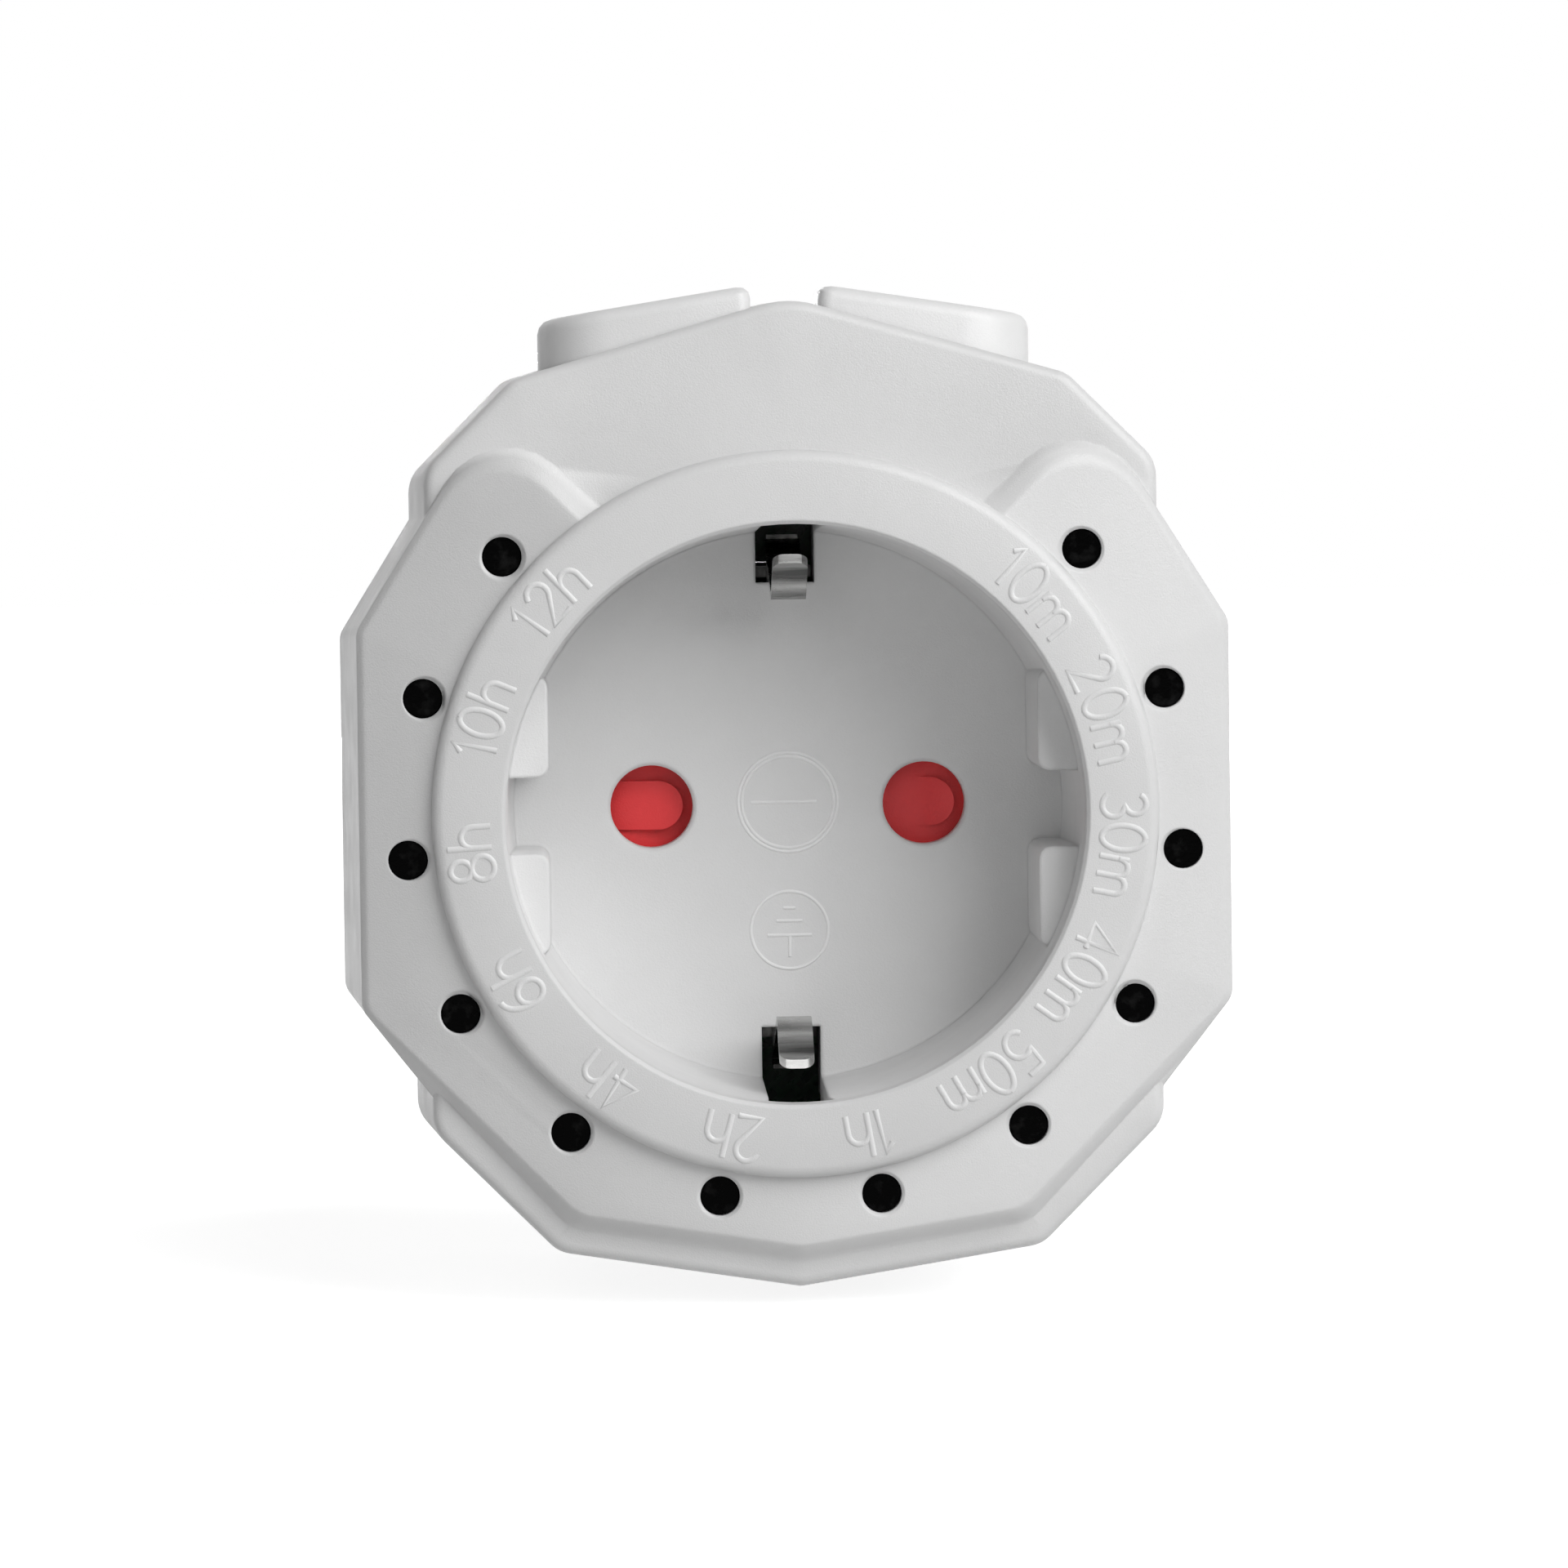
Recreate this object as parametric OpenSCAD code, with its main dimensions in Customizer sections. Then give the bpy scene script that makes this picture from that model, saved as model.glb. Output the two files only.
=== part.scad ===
// Plug-in countdown timer for a round earthed wall socket, with a socket outlet in its front.
// Millimetres. X runs to the right seen from the front, Z runs up, and Y runs from the front of
// the timer towards the wall. The origin is the middle of the plug's nose face, between the pins.

/* [Housing outline] */
// Height of the roof's ridge above the socket's axis, at the front edge
ridge_z = 35.1; // [34.6:0.1:37]
// Half width at the roof's shoulders
shoulder_x = 18.9; // [18:0.1:19.5]
// Height of the roof's shoulders
shoulder_z = 29.7; // [29.2:0.1:30.5]
// Half width between the flat sides, at the front edge
side_x = 24.9; // [24.6:0.1:26]
// Height of the upper end of the flat sides
side_top_z = 23.7; // [23:0.1:24.5]
// Depth of the lower end of the flat sides below the axis
side_low_z = 21.3; // [20.8:0.1:22]
// Half width at the lower shoulders
base_x = 16.5; // [15.5:0.1:17.5]
// Depth of the lower shoulders below the axis
base_z = 29.7; // [29.3:0.1:31]
// Depth of the keel, the lowest point, below the axis
keel_z = 32.3; // [31.8:0.1:34]
// Depth from the socket's rim to the face that meets the wall
body_depth = 46; // [45:0.5:52]
// Depth of the front cover, from its lower front face to the joint with the rear cover
front_depth = 23.3; // [22.5:0.1:25]
// Wall thickness of both covers
wall = 1.8; // [1.5:0.1:2.1]
// Radius along the front edges
edge_r = 0.7; // [0.4:0.1:1]
// Radius along the rear edges
rear_edge_r = 2.4; // [1.5:0.1:3]

/* [Wings and lamp plate] */
// Half width over the wings, at the front edge
wing_x = 29.7; // [29.4:0.1:31]
// Height of the wings' upper corners
wing_top_z = 12.8; // [11:0.1:14]
// Depth of the wings' lower corners below the axis
wing_low_z = 12.9; // [11:0.1:14]
// Slope of the wings' upper edges, in degrees
wing_top_angle = 58; // [56:0.5:60]
// Slope of the wings' lower edges, in degrees
wing_low_angle = 52; // [50:0.5:54]
// Rise of the lamp plate above the lower front face
plate_rise = 1.5; // [1:0.1:1.7]
// Width of the slope between the two levels
plate_slope = 1.5; // [1:0.1:1.8]
// How far the plate falls away towards its left and right edges
plate_crown = 0.7; // [0.3:0.1:0.8]
// Height of the point where the notch over the plate would close
notch_z = 8.3; // [7:0.1:9.5]
// Ledge between the housing's lower edge and the foot of the slope
ledge_w = 1.5; // [1.2:0.1:2]

/* [Socket] */
// Radius of the socket's rim
rim_r = 19.7; // [19.5:0.05:19.8]
// How much smaller the recess's radius is at its floor
floor_draft = 0.55; // [0.4:0.05:0.8]
// Width of the raised ring round the rim
ring_w = 5; // [4.7:0.05:5.1]
// Rise of the ring above the lamp plate
ring_rise = 1.2; // [0.8:0.1:2]
// Depth of the recess from the rim to its floor
recess_depth = 17.5; // [17:0.1:18]
// Thickness of the recess's floor
floor_t = 2; // [1.8:0.1:2.2]
// Distance between the two pin axes, for the socket and for the plug
pin_spacing = 19; // [18.9:0.1:19.1]
// Radius of the pin holes in the floor
pin_hole_r = 2.88; // [2.6:0.02:2.9]
// How far the flat key blocks stand in from the rim
key_reach = 3; // [2.7:0.1:3.2]
// Half height of the key blocks
key_z = 9.5; // [9:0.1:10]
// Width of the gap in the middle of each key block
key_gap = 5.2; // [4.8:0.1:5.4]
// Width of the slots for the earth clips
earth_slot_w = 4.1; // [3.8:0.1:4.4]
// How far the earth slots reach in from the floor's edge
earth_slot_reach = 3.65; // [3.35:0.05:3.85]

/* [Lamps] */
// Distance from the raised ring to the circle on which the lamps lie
lamp_gap = 1.8; // [1.7:0.05:1.9]
// Radius of a lamp window
lamp_r = 1.35; // [1.1:0.05:1.4]
// Number of lamps on each side of the middle
lamps_each_side = 6; // [4:1:6]
// Angle from one lamp to the next, in degrees
lamp_step = 24; // [23:0.5:24.5]

/* [Buttons] */
// Distance from the middle to a button's inner end
button_in_x = 2.35; // [2:0.05:3]
// Distance from the middle to a button's outer end
button_out_x = 17; // [16:0.1:17.2]
// Height of a button's top plane, carried on to the middle of the roof
button_top_z = 36.45; // [36.2:0.05:37.2]
// Slope of a button's top, in degrees
button_slope = 8.8; // [7:0.2:11]
// Distance from the rim to the front of the buttons
button_set = 9.5; // [9:0.1:10.5]
// Depth of a button, front to back
button_depth = 12; // [11:0.1:12.5]
// Radius of the two outer corners of a button
button_out_r = 4.8; // [3:0.1:5]
// Play all round a button in its opening
button_play = 0.25; // [0.2:0.05:0.35]
// Travel of a button when it is pressed
button_travel = 0.4; // [0.3:0.05:0.5]

/* [Plug] */
// Radius of the plug body
plug_r = 18.5; // [18.2:0.05:18.6]
// Length of the plug body from the wall face to its nose
plug_depth = 17; // [16.5:0.1:17.5]
// Radius of the two plug pins
pin_r = 2.4; // [2.35:0.05:2.4]
// Free length of the plug pins
pin_len = 19; // [18.5:0.1:19.5]
// Distance from the axis to the plug's flats
plug_flat_x = 16.2; // [16:0.1:16.4]
// Width of the rib in the middle of each flat
plug_rib_w = 4.4; // [4:0.1:4.5]
// Distance from the axis to the outer face of the plug's earth contacts
plug_earth_z = 16.6; // [16.4:0.1:16.8]

/* [Shutter and contacts] */
// Travel of the shutter from closed to open
shutter_travel = 6; // [5.7:0.1:6.1]
// Thickness of the shutter
shutter_t = 2.2; // [2:0.1:2.3]
// Half height of the shutter
shutter_z = 4; // [3.6:0.1:4.2]
// How far the earth clips' crests stand in from the floor's edge
clip_reach = 4.75; // [4.35:0.05:5.15]
// Width of an earth clip
clip_w = 2.4; // [2.2:0.1:3]
// Thickness of the earth clips' metal
clip_t = 0.6; // [0.5:0.05:0.7]
// Thickness of the brass in the contacts and the earth strap
brass_t = 0.8; // [0.6:0.05:0.9]

/* [Boards and screws] */
// Thickness of the circuit boards
board_t = 1.6; // [1.2:0.1:1.7]
// Sideways place of the upper screws
screw_top_x = 17; // [16.9:0.1:17.2]
// Height of the upper screws
screw_top_z = 22.8; // [22.7:0.1:23]
// Sideways place of the lower screws
screw_low_x = 20.6; // [20.4:0.1:20.8]
// Depth of the lower screws below the axis
screw_low_z = 18.6; // [18.4:0.1:18.8]
// Radius of a screw's thread
screw_r = 1.45; // [1.25:0.05:1.5]

/* [Hidden] */

// Overrun of every cut and sink of every joined piece
over = 0.5;
// Step between faces that would otherwise lie in one plane
hair = 0.02;
// Clearance between pieces that lie against each other
seat = 0.1;
// Clearance between a moving piece and what guides it
play = 0.15;
// Number of facets along a rounded corner
corner_steps = 6;
plain_steps = 3;

// Planes across the timer, from the rim to the wall
wall_y = -plug_depth;
rim_y = wall_y - body_depth;
plate_y = rim_y + ring_rise;
front_y = plate_y + plate_rise;
inner_y = front_y + wall;
joint_y = front_y + front_depth;
rear_inner_y = wall_y - wall;
floor_y = rim_y + recess_depth;
floor_back_y = floor_y + floor_t;

// How far each face of the housing leans out between its front edge and the joint
roof_lean = 0.3;
upper_lean = 0.5;
side_lean = 1.3;
lower_lean = 1.25;
keel_lean = 1.2;
wing_side_lean = 1.5;
wing_top_lean = 0.95;
wing_low_lean = 1.1;

// Corner radii of the housing
ridge_corner_r = 7;
shoulder_corner_r = 2.4;
side_corner_r = 2.6;
keel_corner_r = 1.2;
wing_corner_r = 1.6;
tip_corner_r = 4.6;
plate_corner_r = 3;
least_corner_r = 0.5;

// Shares of the slope's width at which its rounded profile has a line
slope_shares = [0, 0.15, 0.35, 0.65, 0.85, 0.94, 1];
// Width of the slope at the notch, as a share of its width elsewhere
notch_slope_share = 1.35;
// Shares of the plate's width at which its crown has a line, from its edge inwards
crown_shares = [0.85, 0.7, 0.55, 0.4, 0.2];
// Where the crown starts and where it is whole, as shares of the half width over the wings
crown_start_share = 0.4;
crown_full_share = 0.98;

// Small sizes of the ring and the socket
ring_edge = 0.8;
ring_sink = 0.3;
rim_edge = 0.25;
seam_drop = 2;
cup_wall = 1.5;
key_drop = 4.3;
key_corner_r = 0.8;
flange_w = 1.4;
flange_t = 1.2;
flange_play = 0.3;
slot_drop = 0.4;
slot_flare = 0.3;
slot_flare_len = 1.6;
hole_edge = 0.2;
floor_r = rim_r - floor_draft;
ring_r = rim_r + ring_w;
cup_r = rim_r + cup_wall;
cup_y = rim_y + seam_drop;
flange_r = cup_r + flange_w;
key_x = rim_r - key_reach;
earth_slot_z = floor_r - earth_slot_reach;

// Small sizes of the lamps
lamp_depth = 0.6;
lamp_edge = 0.2;
lamp_play = 0.1;
guide_t = 1.25;
guide_w = 1.8;
guide_reach = 1.3;
guide_disc_r = 1.6;
lamp_circle_r = ring_r + lamp_gap;
guide_out_r = lamp_circle_r - guide_reach;
guide_in_r = guide_out_r - guide_w;
guide_y = inner_y - 1.2 * guide_t;
lamp_chip = [2, 0.5, 1.25];
lamp_dome_r = 0.6;
lamp_dome_h = 0.5;
// Share of the crown's fall that the lamps follow, and where on the plate it is taken
lamp_crown_share = 0.3;
lamp_crown_place_share = 1.15;

// Boards
control_y = inner_y + flange_t + seat;
control_back_y = control_y + board_t;
power_set = 5.2;
power_y = rear_inner_y - power_set;
power_back_y = power_y + board_t;
board_play = 0.5;
control_hole_r = flange_r + flange_play;
key_board_z = flange_r + seat + board_t;
key_board_x = 14.3;

// Screws and the posts that take them
post_r = 2.4;
post_base_r = 3.4;
tube_r = 4;
head_r = 2.7;
head_h = 1.8;
head_well_r = 3;
head_seat = 7;
head_y = joint_y + head_seat;
screw_len = 14;
screw_tip = 1.5;
thread_fit = 0.05;
pilot_r = screw_r + thread_fit;
pilot_depth = 9;
shank_hole_r = 1.65;
screw_places = [
    [screw_top_x, screw_top_z],
    [-screw_top_x, screw_top_z],
    [screw_low_x, -screw_low_z],
    [-screw_low_x, -screw_low_z]
];

// Buttons
button_y = rim_y + button_set;
button_in_r = 0.9;
button_edge = 0.9;
button_wall = 1.3;
flange_out = 0.8;
button_flange_t = 1;
stem_r = 1.7;
roof_slope = (ridge_z - shoulder_z) / shoulder_x;
roof_drop = wall * sqrt(1 + roof_slope * roof_slope);

// Push switches
tact_x = (button_in_x + button_out_x) / 2;
tact_y = button_y + button_depth / 2;
tact_w = 6;
tact_h = 3.5;
tact_rise = 1.2;
tact_sink = 0.5;
plunger_r = 1.75;
tact_top_z = key_board_z + tact_h;
plunger_top_z = tact_top_z + tact_rise;

// Shutter, its channel and spring
channel_depth = shutter_t + 2 * seat;
channel_y = floor_back_y + channel_depth;
shutter_y = floor_back_y + seat;
pin_x = pin_spacing / 2;
through_r = 2.6;
shutter_end = 0.8;
shutter_rim = 0.5;
land_drop = 1.1;
land_z = 3.2;
land_reach = 3;
shutter_left = -pin_x - shutter_travel - through_r - shutter_end;
shutter_right = pin_x + land_reach + shutter_rim;
channel_end = 0.4;
channel_left = shutter_left - channel_end;
channel_right = shutter_right + shutter_travel + channel_end;
pad_w = 3.4;
pad_reach = 2.2;
left_pad_len = 6;
right_pad_len = 2.7;
spring_wall = 0.6;
spring_window_x = -pin_x + land_reach + spring_wall;
spring_window_z = 1.5;
peg_x = 4.7;
peg_w = 0.9;
peg_z = 1.2;
coil_r = 0.82;
coil_wire = 0.36;
coil_turns = 9;
coil_sides = 6;
coil_rings = 9;

// Carrier of the contacts
carrier_set = 0.6;
carrier_r = cup_r - carrier_set;
carrier_web = 0.95;
carrier_y = channel_y + carrier_web;
sleeve_x = 4.6;
sleeve_z = 6;
sleeve_wall = 1.2;
contact_w = 4.5;
contact_half = 3.2;
contact_throat = 2.15;
contact_set = 3;
tail_w = 1.6;

// Earth path
strap_gap = 0.05;
strap_y = carrier_y + strap_gap;
strap_back_y = strap_y + brass_t;
strap_w = 4.8;
strap_neck_w = 2.2;
strap_neck_reach = 4.15;
strap_neck_z = floor_r - strap_neck_reach;
clip_root_set = 0.95;
clip_root_z = floor_r - clip_root_set;
clip_root_gap = 0.15;
clip_tip_set = 1.85;
clip_tip_z = floor_r - clip_tip_set;
clip_tip_r = 0.8;
clip_tip_depth = 5.5;
clip_crest_height = 6.5;
clip_crest_z = floor_r - clip_reach;
// Points of the crest's bend: how far each lies behind the crest, and how far outside it
clip_crest_bend = [[1.5, 0.35], [0.4, 0], [-0.6, 0.05], [-1.7, 0.5]];
strap_z = max(clip_root_z + clip_t, plug_earth_z + brass_t);
earth_w = 4;
earth_play = 0.2;
plug_earth_set = 1.2;

// Plug
nose_t = 2.5;
nose_edge = 1;
plug_room_r = 13.8;
pin_seat_r = 2.7;
pin_collar_r = 3.4;
pin_collar_t = 1.5;
pin_tail_r = 1.6;
pin_tip = 1.6;
pin_fit = 0.05;

// Colours of the materials
shell_grey = "#d6d6d6";
smoke_black = "#141414";
board_green = "#2f6b45";
key_green = "#35744c";
chip_black = "#26282b";
brass_gold = "#c8a24a";
nickel = "#b9bcc0";
shutter_red = "#ce484d";
carrier_grey = "#a9abad";
relay_blue = "#2f5f9e";
film_yellow = "#d9b43a";
can_grey = "#585c63";
varistor_blue = "#3d6fae";
resistor_tan = "#b98f63";
lamp_white = "#f2efe2";
ribbon_grey = "#8f9296";
steel = "#8d9196";

lamp_names = [for (i = [1:2 * lamps_each_side]) str("led_", i)];

// Plane geometry

function unit(v) = v / norm(v);

// A vector turned a quarter turn to the left
function left_of(v) = [-v[1], v[0]];

function turned(v, a) = [v[0] * cos(a) - v[1] * sin(a), v[0] * sin(a) + v[1] * cos(a)];

function reversed(list) = [for (i = [len(list) - 1:-1:0]) list[i]];

function mirrored(list) = [for (p = reversed(list)) [-p[0], p[1]]];

// Where the line through p along u meets the line through q along v
function meet(p, u, q, v) =
    let (det = u[0] * v[1] - u[1] * v[0])
    p + u * ((q - p)[0] * v[1] - (q - p)[1] * v[0]) / det;

// The corner at q once the sides pq and qr have moved inwards
function moved_corner(p, q, r, in_a, in_b) =
    let (na = left_of(unit(q - p)), nb = left_of(unit(r - q)))
    let (det = na[0] * nb[1] - na[1] * nb[0])
    q + [in_a * nb[1] - in_b * na[1], in_b * na[0] - in_a * nb[0]] / det;

// An outline, listed anticlockwise, with each side moved inwards by its own amount
function inset_outline(pts, insets) =
    let (n = len(pts))
    [for (i = [0:n - 1])
        let (before = (i + n - 1) % n)
        moved_corner(pts[before], pts[i], pts[(i + 1) % n], insets[before], insets[i])];

// The points of one rounded corner at q
function corner_arc(p, q, r, radius, steps) =
    let (u = unit(q - p), v = unit(r - q))
    let (turn = acos(min(1, u * v)))
    let (start = q - u * radius * tan(turn / 2))
    let (centre = start + left_of(u) * radius)
    [for (k = [0:steps]) centre + turned(start - centre, turn * k / steps)];

function rounded_outline(pts, radii, steps) =
    let (n = len(pts))
    [for (i = [0:n - 1])
        each radii[i] == 0
            ? [pts[i]]
            : corner_arc(pts[(i + n - 1) % n], pts[i], pts[(i + 1) % n], radii[i], steps)];

// Depth and inset of the lines along a rounded edge
function edge_lines(r, steps) =
    [for (k = [0:steps]) [r * (1 - cos(90 * k / steps)), r * (1 - sin(90 * k / steps))]];

// Outlines of the housing

right_side = [
    [base_x, -base_z],
    [side_x, -side_low_z],
    [side_x, side_top_z],
    [shoulder_x, shoulder_z]
];
housing_outline = concat([[0, -keel_z]], right_side, [[0, ridge_z]], mirrored(right_side));
housing_half_leans = [keel_lean, lower_lean, side_lean, upper_lean, roof_lean];
housing_leans = concat(housing_half_leans, reversed(housing_half_leans));
housing_half_radii = [base_corner_r(), side_corner_r, side_corner_r, shoulder_corner_r];
housing_radii =
    concat([keel_corner_r], housing_half_radii, [ridge_corner_r], reversed(housing_half_radii));

function base_corner_r() = shoulder_corner_r;

wing_top = [wing_x, wing_top_z];
wing_low = [wing_x, -wing_low_z];
wing_up = [-cos(wing_top_angle), sin(wing_top_angle)];
wing_down = [-cos(wing_low_angle), -sin(wing_low_angle)];
root_top_z = (side_top_z + shoulder_z) / 2;
root_low_z = side_low_z - 0.06 * side_low_z;
root_top = meet(wing_top, wing_up, [0, root_top_z], [1, 0]);
root_low = meet(wing_low, wing_down, [0, -root_low_z], [1, 0]);
wing_right = [root_low, wing_low, wing_top, root_top];
wing_outline = concat(wing_right, mirrored(wing_right));
wing_leans = [
    wing_low_lean, wing_side_lean, wing_top_lean, 0,
    wing_top_lean, wing_side_lean, wing_low_lean, 0
];
wing_radii = [0, wing_corner_r, wing_corner_r, 0, 0, wing_corner_r, wing_corner_r, 0];

// The lamp plate: a broad C, open at the top, listed from the point of the notch
ledge_outline = inset_outline(housing_outline, [for (p = housing_outline) ledge_w]);
plate_keel = ledge_outline[0];
plate_base = ledge_outline[1];
plate_low = meet(plate_base, ledge_outline[2] - plate_base, wing_low, wing_down);
plate_tip = meet(wing_top, wing_up, [0, notch_z], [1, 1]);
plate_right = [plate_base, plate_low, wing_low, wing_top, plate_tip];
plate_outline = concat([[0, notch_z]], mirrored(plate_right), [plate_keel], plate_right);
plate_half_radii = [plate_corner_r, plate_corner_r, wing_corner_r, wing_corner_r, tip_corner_r];
plate_radii = concat([0], reversed(plate_half_radii), [plate_corner_r], plate_half_radii);
plate_room_r = (rim_r + ring_r) / 2;
plate_lap = 0.8;
plate_start_r = plate_room_r + plate_lap;

// How far the housing has leaned out at depth y, from none at the front edge to all at the joint
function lean_share(y) =
    y < joint_y ? (y - front_y) / (joint_y - front_y) : (wall_y - y) / (wall_y - joint_y);

function housing_ring(y, inset, steps) =
    let (insets = [for (lean = housing_leans) inset - lean * lean_share(y)])
    let (radii = inner_radii(housing_radii, inset))
    level(rounded_outline(inset_outline(housing_outline, insets), radii, steps), y);

function wing_ring(y, inset, steps) =
    let (insets = [for (lean = wing_leans) (lean == 0 ? 0 : inset) - lean * lean_share(y)])
    let (radii = inner_radii(wing_radii, inset))
    level(rounded_outline(inset_outline(wing_outline, insets), radii, steps), y);

// Corner radii after the outline has moved inwards
function inner_radii(radii, inset) =
    [for (r = radii) r == 0 ? 0 : max(r - inset, least_corner_r)];

// Plane points set upright at depth y
function level(pts, y) = [for (p = pts) [p[0], y, p[1]]];

// The plate's edge at depth y, from one end of the C to the other
function plate_path(slope_in, edge_in, share) =
    let (top_in = edge_in - wing_top_lean * share)
    let (side_in = edge_in - wing_side_lean * share)
    let (low_in = edge_in - wing_low_lean * share)
    let (base_in = slope_in - lower_lean * share)
    let (keel_in = slope_in - keel_lean * share)
    let (notch_in = slope_in * notch_slope_share)
    let (half = [keel_in, base_in, low_in, side_in, top_in, notch_in])
    let (moved = inset_outline(plate_outline, concat(reversed(half), half)))
    let (round = rounded_outline(moved, plate_radii, corner_steps))
    let (last = len(round) - 1)
    concat(
        [end_point(round[0], round[1])],
        [for (i = [1:last]) round[i]],
        [end_point(round[0], round[last])]
    );

// The point towards q, on a line from p, that lies at the radius where the plate ends
function end_point(p, q) =
    let (u = unit(q - p), along = p * u)
    p + u * (sqrt(along * along - p * p + plate_start_r * plate_start_r) - along);

// Height of the slope's rounded profile at a share of its width
function slope_height(s) = plate_rise * s * s * (3 - 2 * s);

// How far the plate's edge has fallen at a place p in X and Z
function crown_at(p) =
    let (across = (abs(p[0]) / wing_x - crown_start_share) / (crown_full_share - crown_start_share))
    let (s = min(1, max(0, across)))
    plate_crown * s * s * (3 - 2 * s);

function crowned(ring) = [for (p = ring) p + [0, crown_at([p[0], p[2]]), 0]];

// Inset of the wings' rounded front edge at a height above the lower front face
function edge_inset(h) =
    let (rise = h - (plate_rise - edge_r))
    rise <= 0 ? 0 : edge_r - sqrt(max(0, edge_r * edge_r - rise * rise));

// Solids

// A closed skin over rings of points, listed anticlockwise seen from the first ring's side
module skin(rings) {
    n = len(rings[0]);
    m = len(rings);
    polyhedron(
        points = [for (ring = rings) each ring],
        faces = concat(
            [[for (i = [n - 1:-1:0]) i]],
            [[for (i = [0:n - 1]) (m - 1) * n + i]],
            [for (j = [0:m - 2], i = [0:n - 1])
                let (a = j * n + i, b = j * n + (i + 1) % n)
                each [[a, b, b + n], [a, b + n, a + n]]]
        )
    );
}

// A round bar along Y
module rod(r, y0, y1, place = [0, 0]) {
    translate([place[0], y1, place[1]])
        rotate([90, 0, 0])
            cylinder(r = r, h = y1 - y0, $fn = 96);
}

// A cone along Y, with its radius at y0 first
module taper(r0, r1, y0, y1, place = [0, 0]) {
    translate([place[0], y1, place[1]])
        rotate([90, 0, 0])
            cylinder(r1 = r1, r2 = r0, h = y1 - y0, $fn = 96);
}

// The chamfer round the mouth of a hole that opens in a face at depth y
module mouth(r, edge, y, place = [0, 0]) {
    taper(r + edge + seat, r, y - seat, y + edge, place);
}

// A plane shape in X and Z, drawn out from y0 to y1
module prism(y0, y1) {
    translate([0, y1, 0])
        rotate([90, 0, 0])
            linear_extrude(y1 - y0)
                children();
}

// A block between two corners
module block(low, high) {
    translate(low)
        cube(high - low);
}

// A block as wide to the left as to the right
module mid_block(half_x, y0, y1, z0, z1) {
    block([-half_x, y0, z0], [half_x, y1, z1]);
}

// The housing's plain body between two depths
module housing_solid(rings_y, inset) {
    skin([for (y = rings_y) housing_ring(y, inset, plain_steps)]);
}

module wing_solid(rings_y, inset) {
    skin([for (y = rings_y) wing_ring(y, inset, plain_steps)]);
}

// Front cover

module housing_front() {
    skin(concat(
        [for (line = edge_lines(edge_r, plain_steps))
            housing_ring(front_y + line[0], line[1], corner_steps)],
        [housing_ring(joint_y, 0, corner_steps)]
    ));
}

// The wings and the raised plate in one sweep along the C
module plate_and_wings() {
    foot = 0.1;
    foot_out = 0.15;
    outer = concat(
        [level(plate_path(0, 0, 1), joint_y - hair)],
        [crowned(level(plate_path(-foot_out, 0, 0), front_y + foot))],
        [for (s = slope_shares)
            crowned(level(plate_path(s * plate_slope, edge_inset(slope_height(s)), 0),
                front_y - slope_height(s)))]
    );
    m = len(outer);
    first = outer[0];
    last = outer[m - 1];
    skin([for (i = [0:len(first) - 1])
        let (room = room_point([last[i][0], plate_y, last[i][2]]))
        concat(
            [room, room_point(first[i])],
            [for (j = [0:m - 1]) outer[j][i]],
            [for (s = crown_shares) crown_point(room, last[i], s)]
        )]);
}

// A point of the crowned plate, at a share of the way from its inner wall to its edge
function crown_point(room, edge, s) =
    room + [s * (edge[0] - room[0]), s * s * (edge[1] - room[1]), s * (edge[2] - room[2])];

// The point of the plate's inner wall on the same ray as p
function room_point(p) =
    let (u = unit([p[0], p[2]]) * plate_room_r)
    [u[0], p[1], u[1]];

// The raised ring round the socket
module socket_ring() {
    rise = inner_y - ring_sink - rim_y;
    profile = concat(
        [[rim_r - over, 0], [ring_r, 0]],
        [for (line = reversed(edge_lines(ring_edge, plain_steps)))
            [ring_r - line[1], rise - line[0]]],
        [[rim_r - over, rise]]
    );
    translate([0, inner_y - ring_sink, 0])
        rotate([90, 0, 0])
            rotate_extrude($fn = 96)
                polygon(profile);
}

function lamp_angle(i) = lamp_step * (lamps_each_side - i + 0.5) - 90;

function lamp_place(i) = lamp_circle_r * [cos(lamp_angle(i)), sin(lamp_angle(i))];

// Depth of the plate's face at a lamp
function lamp_face_y(i) =
    plate_y + lamp_crown_share * crown_at(lamp_crown_place_share * lamp_place(i));

// The groove and the pockets in which the light guide lies
module guide_room(grow) {
    difference() {
        rod(guide_out_r + grow, guide_y - grow, control_y);
        rod(guide_in_r - grow, guide_y - over, control_y + over);
        guide_gap();
    }
    for (i = [1:2 * lamps_each_side])
        rod(guide_disc_r + grow, guide_y - grow, inner_y + grow, lamp_place(i));
}

// The wedge over the socket that has no lamps
module guide_gap() {
    reach = 2 * guide_out_r;
    gap_angle = lamp_angle(1) + lamp_step / 6;
    prism(guide_y - body_depth, control_y + body_depth)
        polygon([
            [0, 0],
            reach * [cos(gap_angle), sin(gap_angle)],
            reach * [0, 1],
            reach * [-cos(gap_angle), sin(gap_angle)]
        ]);
}

// A button's outline seen from above, on the right-hand side
function button_outline(grow) =
    let (x0 = button_in_x - grow, x1 = button_out_x + grow)
    let (y0 = button_y - grow, y1 = button_y + button_depth + grow)
    [[x0, y0], [x1, y0], [x1, y1], [x0, y1]];

function button_radii(grow) =
    let (inner = max(button_in_r + grow, button_edge / 3), outer = button_out_r + grow)
    [inner, outer, outer, inner];

module button_well() {
    wide = button_outline(button_play);
    translate([0, 0, shoulder_z - 2 * wall])
        linear_extrude(ridge_z - shoulder_z + 4 * wall)
            polygon(rounded_outline(wide, button_radii(button_play), corner_steps));
}

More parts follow.
